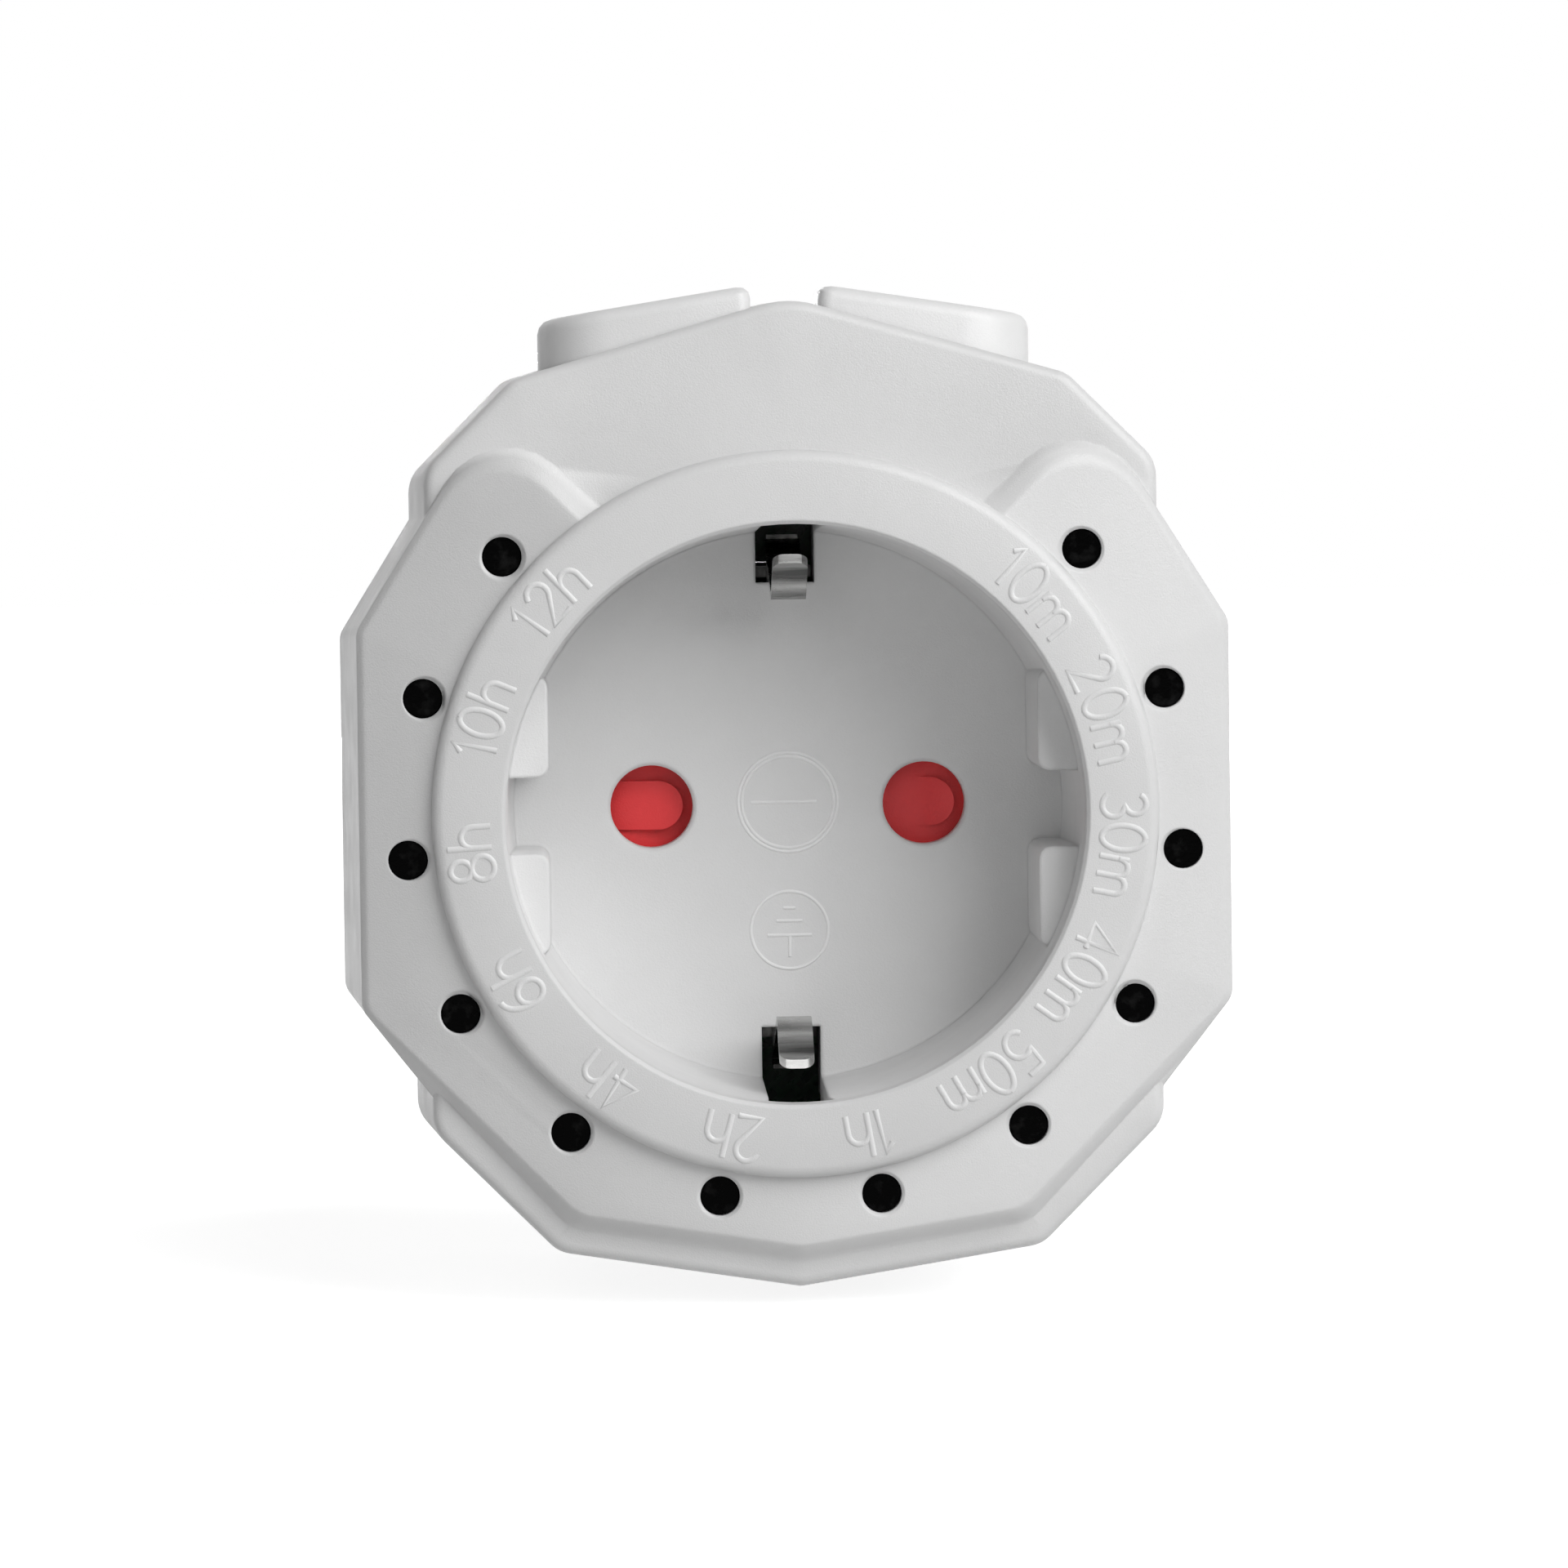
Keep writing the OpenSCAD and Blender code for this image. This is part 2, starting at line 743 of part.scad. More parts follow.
// A post for a screw, with the shoulder on which the control board lies
module screw_post(place) {
    rod(post_r, inner_y - over, joint_y - seat, place);
    rod(post_base_r, inner_y - over, control_y - seat, place);
}

// A ledge under one end of the key board, carried by an upper post
module key_ledge() {
    low_x = key_board_x - wall;
    block(
        [low_x, button_y, key_board_z - board_t - wall - seat],
        [screw_top_x - pilot_r, button_y + button_depth, key_board_z - board_t - seat]
    );
}

module both_sides() {
    children();
    mirror([1, 0, 0])
        children();
}

module front_cover() color(shell_grey) difference() {
    union() {
        difference() {
            union() {
                housing_front();
                plate_and_wings();
            }
            housing_solid([inner_y, joint_y + 2 * over], wall);
            wing_solid([inner_y + seat, joint_y + 3 * over], wall);
        }
        socket_ring();
        for (place = screw_places)
            screw_post(place);
        both_sides()
            key_ledge();
    }
    rod(rim_r, rim_y - over, joint_y);
    mouth(rim_r, rim_edge, rim_y);
    rod(cup_r + seat, cup_y, joint_y);
    guide_room(play);
    for (i = [1:2 * lamps_each_side]) {
        rod(lamp_r, plate_y - over, inner_y, lamp_place(i));
        mouth(lamp_r, lamp_edge, lamp_face_y(i), lamp_place(i));
    }
    both_sides()
        button_well();
    for (place = screw_places)
        rod(pilot_r, joint_y - pilot_depth, joint_y + over, place);
}

// Rear cover

module housing_rear() {
    skin(concat(
        [housing_ring(joint_y, 0, corner_steps)],
        [for (line = reversed(edge_lines(rear_edge_r, plain_steps + 1)))
            housing_ring(wall_y - line[0], line[1], corner_steps)]
    ));
}

// The wings run out a little short of the wall face
module wings_rear() {
    end_y = wall_y - rear_edge_r - wall;
    skin(concat(
        [wing_ring(joint_y, 0, corner_steps)],
        [for (line = reversed(edge_lines(rear_edge_r, plain_steps + 1)))
            wing_ring(end_y - line[0], line[1], corner_steps)]
    ));
}

// The plug body's section: a circle with a flat on each side and a rib in the middle of each flat
module plug_section() {
    intersection() {
        circle(r = plug_r, $fn = 96);
        union() {
            square([2 * plug_flat_x, 3 * plug_r], center = true);
            square([3 * plug_r, plug_rib_w], center = true);
        }
    }
}

module plug_body() {
    intersection() {
        prism(wall_y - wall / 2, 0)
            plug_section();
        union() {
            rod(plug_r + over, wall_y - wall, -nose_edge);
            taper(plug_r + over, plug_r - nose_edge, -nose_edge, over);
        }
    }
}

// The side recess for a plug earth contact, and the slot where the contact enters the housing
module plug_earth_room() {
    half = earth_w / 2 + earth_play;
    floor_z = plug_earth_z - brass_t - seat / 2;
    mid_block(half, wall_y, over, floor_z, plug_r + over);
    mid_block(half, rear_inner_y - over, wall_y + over, floor_z, plug_earth_z + seat / 2);
}

module screw_tube(place) {
    rod(tube_r, joint_y, rear_inner_y + wall / 2, place);
}

module screw_tube_bore(place) {
    rod(head_well_r, head_y, wall_y + over, place);
    rod(shank_hole_r, joint_y - over, head_y + over, place);
}

// The lip that enters the front cover
module joint_lip() {
    lip = 1.6;
    lip_t = 0.9;
    difference() {
        intersection() {
            union() {
                housing_solid([joint_y - lip, joint_y + lip], wall + seat);
                wing_solid([joint_y - lip - seat, joint_y + lip + seat], wall + seat);
            }
            mid_block(2 * wing_x, joint_y - lip / 2, joint_y + lip / 2, -2 * keel_z, 2 * ridge_z);
        }
        housing_solid([joint_y - 2 * lip, joint_y + 2 * lip], wall + lip_t);
        wing_solid([joint_y - 2 * lip - seat, joint_y + 2 * lip + seat], wall + lip_t);
    }
}

// Short posts that carry the power board
board_rest_x = 12;
board_rest_top_z = 20.5;
board_rest_low_z = 21;
board_rest_r = 1.5;

module rear_cover() color(shell_grey) difference() {
    union() {
        difference() {
            union() {
                housing_rear();
                wings_rear();
            }
            housing_solid([joint_y - over, rear_inner_y], wall);
            wing_solid([joint_y - 2 * over, wall_y - rear_edge_r - 2 * wall], wall);
        }
        plug_body();
        joint_lip();
        for (place = screw_places)
            screw_tube(place);
        for (x = [board_rest_x, -board_rest_x], z = [board_rest_top_z, -board_rest_low_z])
            rod(board_rest_r, power_back_y + seat, rear_inner_y + wall / 2, [x, z]);
    }
    rod(plug_room_r, rear_inner_y - over, -nose_t);
    for (place = screw_places)
        screw_tube_bore(place);
    for (x = [-pin_x, pin_x])
        rod(pin_seat_r + pin_fit, -nose_t - over, over, [x, 0]);
    plug_earth_room();
    mirror([0, 0, 1])
        plug_earth_room();
}

// Socket insert: the round recess with its keys, seated in the front cover from behind

// The upper key block on the right-hand side, with its two inner corners rounded
module key_block() {
    sides = [[key_x, key_gap / 2], [cup_r, key_gap / 2], [cup_r, key_z], [key_x, key_z]];
    radii = [key_corner_r, 0, 0, key_corner_r];
    intersection() {
        rod(rim_r + cup_wall / 2, rim_y + key_drop, floor_y + floor_t / 2);
        prism(rim_y, floor_back_y)
            polygon(rounded_outline(sides, radii, plain_steps));
    }
}

// A slot through the floor and the wall for the upper earth clip
module earth_slot() {
    half = earth_slot_w / 2;
    slot_y = cup_y + slot_drop;
    translate([0, 0, earth_slot_z])
        linear_extrude(cup_r + over - earth_slot_z)
            polygon([
                [-half - slot_flare, slot_y],
                [half + slot_flare, slot_y],
                [half, slot_y + slot_flare_len],
                [half, floor_back_y + over],
                [-half, floor_back_y + over],
                [-half, slot_y + slot_flare_len]
            ]);
}

module socket_insert() color(shell_grey) difference() {
    union() {
        difference() {
            union() {
                rod(cup_r, cup_y, floor_back_y);
                rod(flange_r, inner_y, inner_y + flange_t);
            }
            taper(rim_r, floor_r, cup_y, floor_y);
            rod(rim_r, cup_y - over, cup_y);
        }
        both_sides() {
            key_block();
            mirror([0, 0, 1])
                key_block();
        }
    }
    for (x = [-pin_x, pin_x]) {
        rod(pin_hole_r, floor_y - over, floor_back_y + over, [x, 0]);
        mouth(pin_hole_r, hole_edge, floor_y, [x, 0]);
    }
    earth_slot();
    mirror([0, 0, 1])
        earth_slot();
}

// Light guide: one smoked moulding with a window for every lamp
module light_guide() color(smoke_black) {
    guide_back_y = guide_y + guide_t;
    difference() {
        rod(guide_out_r, guide_y, guide_back_y);
        rod(guide_in_r, guide_y - over, guide_back_y + over);
        guide_gap();
    }
    for (i = [1:2 * lamps_each_side]) {
        rod(guide_disc_r, guide_y, guide_back_y, lamp_place(i));
        rod(lamp_r - lamp_play, lamp_face_y(i) + lamp_depth, guide_y + guide_t / 2, lamp_place(i));
    }
}

// Boards

function board_outline(outline, leans, y, play_in) =
    inset_outline(outline, [for (lean = leans) wall + play_in - lean * lean_share(y)]);

module control_pcb() color(board_green) difference() {
    prism(control_y, control_back_y)
        union() {
            polygon(board_outline(housing_outline, housing_leans, control_y, board_play));
            polygon(board_outline(wing_outline, wing_leans, control_y, board_play));
        }
    rod(control_hole_r, control_y - over, control_back_y + over);
    for (place = screw_places)
        rod(post_r + play, control_y - over, control_back_y + over, place);
}

module power_pcb() color(board_green) difference() {
    prism(power_y, power_back_y)
        polygon(board_outline(housing_outline, housing_leans, power_y, board_play));
    for (place = screw_places)
        rod(tube_r + play, power_y - over, power_back_y + over, place);
    for (side = [0, 1])
        mirror([0, 0, side])
            mid_block(
                earth_w / 2 + earth_play, power_y - over, power_back_y + over,
                plug_earth_z - brass_t - earth_play, plug_earth_z + earth_play
            );
}

// A lamp on the control board, behind its window
module lamp(i) {
    place = lamp_place(i);
    color(lamp_white)
        translate([place[0], control_y, place[1]])
            rotate([0, 90 - lamp_angle(i), 0]) {
                translate([-lamp_chip[0] / 2, -lamp_chip[1], -lamp_chip[2] / 2])
                    cube(lamp_chip);
                rod(lamp_dome_r, -lamp_chip[1] - lamp_dome_h / 2, -lamp_chip[1] / 2);
                taper(lamp_dome_r / 2, lamp_dome_r,
                    -lamp_chip[1] - lamp_dome_h, -lamp_chip[1] - lamp_dome_h / 2);
            }
}

chip_legs = 7;
chip_leg_pitch = 1.27;
chip_leg = [0.42, 0.7, 1.1];
chip_ends = 0.98;
chip_size = [(chip_legs - 1) * chip_leg_pitch + chip_ends, 1.5, 3.9];

module microcontroller() color(chip_black) {
    centre_z = -(control_hole_r + keel_z - wall) / 2 + chip_size[2] / 4;
    translate([0, control_back_y, centre_z]) {
        translate([-chip_size[0] / 2, chip_leg[1] / 4, -chip_size[2] / 2])
            cube([chip_size[0], chip_size[1] - chip_leg[1] / 4, chip_size[2]]);
        for (k = [0:chip_legs - 1], side = [-1, 1])
            translate([
                (k - (chip_legs - 1) / 2) * chip_leg_pitch - chip_leg[0] / 2,
                0,
                side * (chip_size[2] / 2 + chip_leg[2] / 4) - chip_leg[2] / 2
            ])
                cube(chip_leg);
    }
}

module key_board() color(key_green) {
    mid_block(key_board_x, button_y, button_y + button_depth, key_board_z - board_t, key_board_z);
}

header_half_x = 5.1;
header_h = 2.5;
header_pins = 4;
header_pitch = 2.54;
header_pin = 0.64;

// A block on the key board whose pins reach the control board
module board_header() color(chip_black) {
    mid_block(header_half_x, button_y, button_y + header_h, key_board_z, key_board_z + header_h);
    for (k = [0:header_pins - 1])
        translate([
            (k - (header_pins - 1) / 2) * header_pitch - header_pin / 2,
            control_back_y,
            key_board_z + header_h / 2 - header_pin / 2
        ])
            cube([header_pin, button_y + over - control_back_y, header_pin]);
}

// A band of even thickness along a path of plane points
function band(path, t) = concat(
    [for (p = path) p + [t / 2, 0]],
    [for (p = reversed(path)) p - [t / 2, 0]]
);

ribbon_t = 0.9;
ribbon_half_z = 3.2;
ribbon_front_x = 24.4;
ribbon_rear_x = 21.6;

// A flat cable between the two boards, with a bend in the middle of its run
module ribbon_cable() color(ribbon_grey) {
    run = power_y - control_back_y;
    path = [
        [ribbon_front_x, control_back_y],
        [ribbon_front_x, control_back_y + 0.36 * run],
        [(ribbon_front_x + ribbon_rear_x) / 2, control_back_y + 0.5 * run],
        [ribbon_rear_x, control_back_y + 0.64 * run],
        [ribbon_rear_x, power_y]
    ];
    translate([0, 0, -ribbon_half_z])
        linear_extrude(2 * ribbon_half_z)
            polygon(band(path, ribbon_t));
}

// Push switches and buttons, drawn on the right-hand side

tact_leg = 0.7;

module tact_switch() color(chip_black) difference() {
    union() {
        block(
            [tact_x - tact_w / 2, tact_y - tact_w / 2, key_board_z],
            [tact_x + tact_w / 2, tact_y + tact_w / 2, tact_top_z]
        );
        for (x = [-1, 1], y = [-1, 1])
            translate([tact_x + x * (tact_w / 2 + seat), tact_y + y * tact_w / 3, key_board_z])
                translate([-tact_leg / 2, -tact_leg / 2, 0])
                    cube([tact_leg, tact_leg, tact_h / 2]);
    }
    translate([tact_x, tact_y, tact_top_z - tact_sink - button_travel - seat])
        cylinder(r = plunger_r + seat, h = tact_h, $fn = 64);
}

module tact_plunger() color(smoke_black)
    translate([tact_x, tact_y, tact_top_z - tact_sink])
        cylinder(r = plunger_r, h = tact_rise + tact_sink, $fn = 64);

// The top plane of a button, lowered by drop
function button_top(p, drop) =
    [p[0], p[1], button_top_z - p[0] * tan(button_slope) - drop];

// A plane just under the roof's inner face, lowered by drop
function under_roof(p, drop) = [p[0], p[1], ridge_z - roof_drop - p[0] * roof_slope - seat - drop];

function button_ring(grow, steps) =
    rounded_outline(button_outline(grow), button_radii(grow), steps);

module button() color(shell_grey) {
    cap_lines = edge_lines(button_edge, plain_steps);
    difference() {
        union() {
            skin(concat(
                [for (line = cap_lines)
                    [for (p = button_ring(0, corner_steps))
                        let (q = inset_toward(p, line[1]))
                        button_top(q, line[0])]],
                [[for (p = button_ring(0, corner_steps)) under_roof(p, button_flange_t / 2)]]
            ));
            skin([
                [for (p = button_ring(flange_out, corner_steps)) under_roof(p, 0)],
                [for (p = button_ring(flange_out, corner_steps)) under_roof(p, button_flange_t)]
            ]);
        }
        skin([
            [for (p = button_ring(-button_wall, plain_steps)) button_top(p, button_wall)],
            [for (p = button_ring(-button_wall, plain_steps)) under_roof(p, 2 * button_flange_t)]
        ]);
    }
    translate([tact_x, tact_y, plunger_top_z + seat / 2])
        cylinder(
            r = stem_r,
            h = button_top([tact_x, tact_y], button_wall / 2)[2] - plunger_top_z - seat / 2,
            $fn = 64
        );
}

// A point of the button's outline drawn towards the middle of the button by a share of its size
function inset_toward(p, inset) =
    let (mid = [(button_in_x + button_out_x) / 2, button_y + button_depth / 2])
    let (half = [(button_out_x - button_in_x) / 2, button_depth / 2])
    let (away = p - mid)
    mid + [away[0] * (1 - inset / half[0]), away[1] * (1 - inset / half[1])];

// Shutter: a bar behind the floor that closes both pin holes

// The sunken land behind a pin hole, open towards the hole that lets the pin through
module shutter_land(x) {
    block(
        [x - shutter_travel, shutter_y - over, -land_z],
        [x + land_reach, shutter_y + land_drop, land_z]
    );
}

// The pad with a round end that slopes up out of the land: a pin that is pushed against its slope
// drives the shutter aside
module shutter_pad(x, len) {
    end_x = x + pad_reach;
    intersection() {
        prism(shutter_y - over, shutter_y + shutter_t)
            translate([end_x - pad_w / 2, 0])
                union() {
                    circle(r = pad_w / 2, $fn = 48);
                    translate([-len, -pad_w / 2])
                        square([len, pad_w]);
                }
        translate([0, 0, -pad_w])
            linear_extrude(2 * pad_w)
                polygon([
                    [end_x - len, shutter_y + land_drop],
                    [end_x, shutter_y],
                    [end_x, shutter_y + (land_drop + shutter_t) / 2]
                ]);
    }
}

module shutter() color(shutter_red) difference() {
    union() {
        difference() {
            block(
                [shutter_left, shutter_y, -shutter_z],
                [shutter_right, shutter_y + shutter_t, shutter_z]
            );
            for (x = [-pin_x, pin_x])
                shutter_land(x);
        }
        shutter_pad(-pin_x, left_pad_len);
        shutter_pad(pin_x, right_pad_len);
    }
    for (x = [-pin_x, pin_x])
        rod(through_r, shutter_y - over, shutter_y + shutter_t + over, [x - shutter_travel, 0]);
    block(
        [spring_window_x, shutter_y - over, -spring_window_z],
        [pin_x - shutter_travel, shutter_y + shutter_t + over, spring_window_z]
    );
}

// The shutter's return spring: one unbroken tube along a helix, between the window and the peg
module shutter_spring() color(steel) {
    left = spring_window_x + seat + coil_wire / 2;
    right = peg_x - seat - coil_wire / 2;
    count = coil_turns * coil_rings;
    mid_y = shutter_y + shutter_t / 2;
    pitch = (right - left) / coil_turns;
    rise = atan(pitch / (2 * 180 * coil_r / 57.2957795));
    skin([for (k = [0:count])
        let (a = 360 * k / coil_rings, x = left + (right - left) * k / count)
        let (out = [0, cos(a), sin(a)], ahead = [sin(rise), -sin(a) * cos(rise), cos(a) * cos(rise)])
        let (side = cross(ahead, out))
        [for (s = [0:coil_sides - 1])
            let (b = 360 * s / coil_sides)
            [x, mid_y, 0] + coil_r * out + coil_wire / 2 * (cos(b) * out - sin(b) * side)]]);
}

// Contact carrier: the plate behind the floor, with the shutter's channel and the contact sleeves

module contact_sleeve(x) {
    block(
        [x - sleeve_x, carrier_y - over, -sleeve_z],
        [x + sleeve_x, power_y - seat, sleeve_z]
    );
}

module contact_room(x) {
    block(
        [x - sleeve_x + sleeve_wall, carrier_y, -sleeve_z + sleeve_wall],
        [x + sleeve_x - sleeve_wall, power_y + over, sleeve_z - sleeve_wall]
    );
    rod(pin_hole_r, channel_y - over, carrier_y + over, [x, 0]);
}

module contact_carrier() color(carrier_grey) {
    difference() {
        union() {
            rod(carrier_r, floor_back_y, carrier_y);
            for (x = [-pin_x, pin_x])
                contact_sleeve(x);
        }
        block(
            [channel_left, floor_back_y - over, -shutter_z - play],
            [channel_right, channel_y, shutter_z + play]
        );
        for (x = [-pin_x, pin_x])
            contact_room(x);
        for (side = [0, 1])
            mirror([0, 0, side])
                mid_block(
                    earth_slot_w / 2, floor_back_y - over, carrier_y + over,
                    earth_slot_z - play, carrier_r + over
                );
    }
    block(
        [peg_x, shutter_y + play, -peg_z],
        [peg_x + peg_w, channel_y + carrier_web / 2, peg_z]
    );
}

// A sprung brass contact that grips a pin between two leaves, with a tail to the power board
module female_contact(x) color(brass_gold) {
    front = carrier_y + play;
    back = power_y - contact_set;
    leaf = [
        [contact_half - brass_t / 2, front],
        [contact_throat + brass_t / 2, front + 0.25 * (back - front)],
        [contact_throat + brass_t / 2, front + 0.4 * (back - front)],
        [contact_half - brass_t / 2, back]
    ];
    translate([x - contact_w / 2, 0, 0])
        for (side = [0, 1])
            mirror([0, 0, side])
                rotate([90, 0, 90])
                    linear_extrude(contact_w)
                        polygon([for (p = band(leaf, brass_t)) [p[1], p[0]]]);
    block([x - contact_w / 2, back - brass_t, -contact_half], [x + contact_w / 2, back, contact_half]);
    block([x - tail_w / 2, back - brass_t / 2, -brass_t / 2], [x + tail_w / 2, power_y, brass_t / 2]);
}

// Earth path: a strap behind the carrier, a clip at each end and the contacts on the plug body

module earth_strap() color(nickel)
    prism(strap_y, strap_back_y)
        polygon([for (side = [1, -1]) each [
            side * [-strap_w / 2, strap_neck_z - strap_w / 2],
            side * [-strap_neck_w / 2, strap_neck_z],
            side * [-strap_neck_w / 2, strap_z],
            side * [strap_neck_w / 2, strap_z],
            side * [strap_neck_w / 2, strap_neck_z],
            side * [strap_w / 2, strap_neck_z - strap_w / 2]
        ]]);

clip_root_y = strap_y - clip_root_gap;
clip_crest_y = floor_y - clip_crest_height;
clip_tip_y = rim_y + clip_tip_depth;

module earth_clip() color(nickel) {
    path = [
        [clip_root_y, clip_root_z],
        [floor_y + 0.4 * (clip_root_y - floor_y), 0.76 * clip_root_z + 0.24 * clip_crest_z],
        for (bend = clip_crest_bend)
            [clip_crest_y + bend[0], clip_crest_z + bend[1] + clip_t / 2],
        [clip_tip_y, clip_tip_z]
    ];
    intersection() {
        translate([-clip_w / 2, 0, 0])
            rotate([90, 0, 90])
                linear_extrude(clip_w)
                    polygon([for (p = band([for (q = path) [q[1], q[0]]], clip_t)) [p[1], p[0]]]);
        translate([0, 0, clip_crest_z - clip_w])
            linear_extrude(2 * clip_root_z)
                union() {
                    mid_square(clip_w + 2 * over, clip_tip_y + clip_tip_r, strap_y);
                    mid_square(clip_w - 2 * clip_tip_r, clip_tip_y - over, strap_y - brass_t);
                    for (x = [-1, 1])
                        translate([x * (clip_w / 2 - clip_tip_r), clip_tip_y + clip_tip_r])
                            circle(r = clip_tip_r, $fn = 32);
                }
    }
}

module mid_square(w, y0, y1) {
    translate([-w / 2, y0])
        square([w, y1 - y0]);
}

module plug_earth_contact() color(nickel)
    mid_block(
        earth_w / 2, strap_back_y, -plug_earth_set,
        plug_earth_z - brass_t, plug_earth_z
    );

// A plug pin with its rounded tip, the collar inside the nose and the tail to the power board
module plug_pin(x) color(nickel) {
    rod(pin_r, -nose_t / 2, pin_len - pin_tip, [x, 0]);
    rod(pin_seat_r, -nose_t - pin_collar_t / 2, 0, [x, 0]);
    taper(pin_r, 0.86 * pin_r, pin_len - pin_tip, pin_len - 0.45 * pin_tip, [x, 0]);
    taper(0.86 * pin_r, 0.5 * pin_r, pin_len - 0.45 * pin_tip, pin_len, [x, 0]);
    rod(pin_collar_r, -nose_t - pin_collar_t, -nose_t, [x, 0]);
    rod(pin_tail_r, power_back_y, -nose_t - pin_collar_t / 2, [x, 0]);
}

// Parts of the power supply and the switch, on the front of the power board

board_room = power_y - strap_back_y;
relay_gap = 0.3;
relay_size = [18.4, board_room - relay_gap, 10.2];
relay_x = 3.4;
relay_z = 8.2;
film_gap = 3.3;
film_size = [17, board_room - film_gap, 7];
film_x = 3.6;
can_r = 4;
can_h = board_room - film_gap;
can_x = 8.4;
can_z = 12.6;
disc_r = 3.6;
disc_t = 3.4;
disc_x = 7.5;
disc_z = 12.2;
fuse_r = 1.3;
fuse_len = 6.4;
fuse_x = 13.2;
fuse_z = 10;
lead_r = 0.35;
lead_len = 1.4;

module relay() color(relay_blue)
    block(
        [relay_x, power_y - relay_size[1], relay_z],
        [relay_x + relay_size[0], power_y, relay_z + relay_size[2]]
    );

module film_capacitor() color(film_yellow)
    block(
        [-film_x - film_size[0], power_y - film_size[1], relay_z],
        [-film_x, power_y, relay_z + film_size[2]]
    );

// A can with the groove near its foot
module electrolytic_capacitor() color(can_grey) difference() {
    rod(can_r, power_y - can_h, power_y, [-can_x, -can_z]);
    difference() {
        rod(can_r + over, power_y - 0.2 * can_h, power_y - 0.12 * can_h, [-can_x, -can_z]);
        rod(0.92 * can_r, power_y - can_h, power_y, [-can_x, -can_z]);
    }
}

// A disc on two leads
module varistor() color(varistor_blue) {
    lift = lead_len + disc_r;
    translate([disc_x, power_y - lift, -disc_z - disc_t / 2])
        cylinder(r = disc_r, h = disc_t, $fn = 64);
    for (x = [-0.6, 0.6])
        rod(lead_r, power_y - lift, power_y, [disc_x + x * disc_r, -disc_z]);
}

// A small round body lying between two bent leads
module fuse_resistor() color(resistor_tan) {
    axis_y = power_y - lead_len - fuse_r;
    translate([fuse_x, axis_y, -fuse_z])
        rotate([0, 90, 0])
            cylinder(r = fuse_r, h = fuse_len, $fn = 48);
    for (x = [fuse_x - lead_len, fuse_x + fuse_len + lead_len])
        rod(lead_r, axis_y - 1.3 * lead_r, power_y, [x, -fuse_z]);
    translate([fuse_x - lead_len, axis_y, -fuse_z])
        rotate([0, 90, 0])
            cylinder(r = 0.8 * lead_r, h = fuse_len + 2 * lead_len, $fn = 24);
}

// Screws: four alike, driven from the wall side
module screw() {
    difference() {
        rod(head_r, head_y, head_y + head_h);
        for (turn = [0, 90])
            rotate([0, turn, 0])
                mid_block(head_r / 2, head_y + head_h / 2, head_y + 2 * head_h,
                    -head_r / 8, head_r / 8);
    }
    rod(screw_r, head_y - screw_len + screw_tip, head_y + head_h / 4);
    taper(screw_r / 4, screw_r, head_y - screw_len, head_y - screw_len + screw_tip);
}

module screws() color(steel)
    for (place = screw_places)
        translate([place[0], 0, place[1]])
            screw();

front_cover();
rear_cover();
socket_insert();
light_guide();
control_pcb();
for (i = [1:2 * lamps_each_side])
    lamp(i);
microcontroller();
key_board();
board_header();
ribbon_cable();
mirror([1, 0, 0]) tact_switch();  // tact_switch_left
tact_switch();  // tact_switch_right
mirror([1, 0, 0]) tact_plunger();  // tact_plunger_left
tact_plunger();  // tact_plunger_right
mirror([1, 0, 0]) button();  // button_left
button();  // button_right
shutter();
shutter_spring();
contact_carrier();
female_contact(-pin_x);  // line_contact
female_contact(pin_x);  // neutral_contact
earth_strap();
earth_clip();  // earth_clip_top
mirror([0, 0, 1]) earth_clip();  // earth_clip_bottom
plug_earth_contact();  // plug_earth_contact_top
mirror([0, 0, 1]) plug_earth_contact();  // plug_earth_contact_bottom
plug_pin(-pin_x);  // plug_pin_line
plug_pin(pin_x);  // plug_pin_neutral
power_pcb();
relay();
film_capacitor();
electrolytic_capacitor();
varistor();
fuse_resistor();
screws();
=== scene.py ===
import math

import bpy
from mathutils import Matrix, Vector


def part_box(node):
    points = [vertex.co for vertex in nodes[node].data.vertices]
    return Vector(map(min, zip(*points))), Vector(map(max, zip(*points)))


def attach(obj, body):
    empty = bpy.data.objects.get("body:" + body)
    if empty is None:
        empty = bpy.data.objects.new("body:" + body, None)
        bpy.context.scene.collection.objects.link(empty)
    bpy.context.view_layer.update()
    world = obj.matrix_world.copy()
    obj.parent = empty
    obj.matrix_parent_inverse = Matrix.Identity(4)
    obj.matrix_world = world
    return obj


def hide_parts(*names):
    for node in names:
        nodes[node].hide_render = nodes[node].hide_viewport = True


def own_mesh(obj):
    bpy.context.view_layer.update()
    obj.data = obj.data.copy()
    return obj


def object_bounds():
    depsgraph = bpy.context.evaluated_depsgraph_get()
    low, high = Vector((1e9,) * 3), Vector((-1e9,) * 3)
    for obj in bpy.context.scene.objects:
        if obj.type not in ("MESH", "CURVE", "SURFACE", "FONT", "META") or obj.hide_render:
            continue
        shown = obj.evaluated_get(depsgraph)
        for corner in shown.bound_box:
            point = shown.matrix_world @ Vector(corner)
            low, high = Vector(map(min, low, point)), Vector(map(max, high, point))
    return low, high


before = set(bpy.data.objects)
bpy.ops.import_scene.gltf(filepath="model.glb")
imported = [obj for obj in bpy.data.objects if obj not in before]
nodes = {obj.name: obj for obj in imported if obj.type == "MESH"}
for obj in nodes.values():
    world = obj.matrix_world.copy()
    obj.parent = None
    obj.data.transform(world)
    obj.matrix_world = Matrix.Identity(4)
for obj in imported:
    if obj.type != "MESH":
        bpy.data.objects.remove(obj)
cad_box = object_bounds()
MM = 0.001

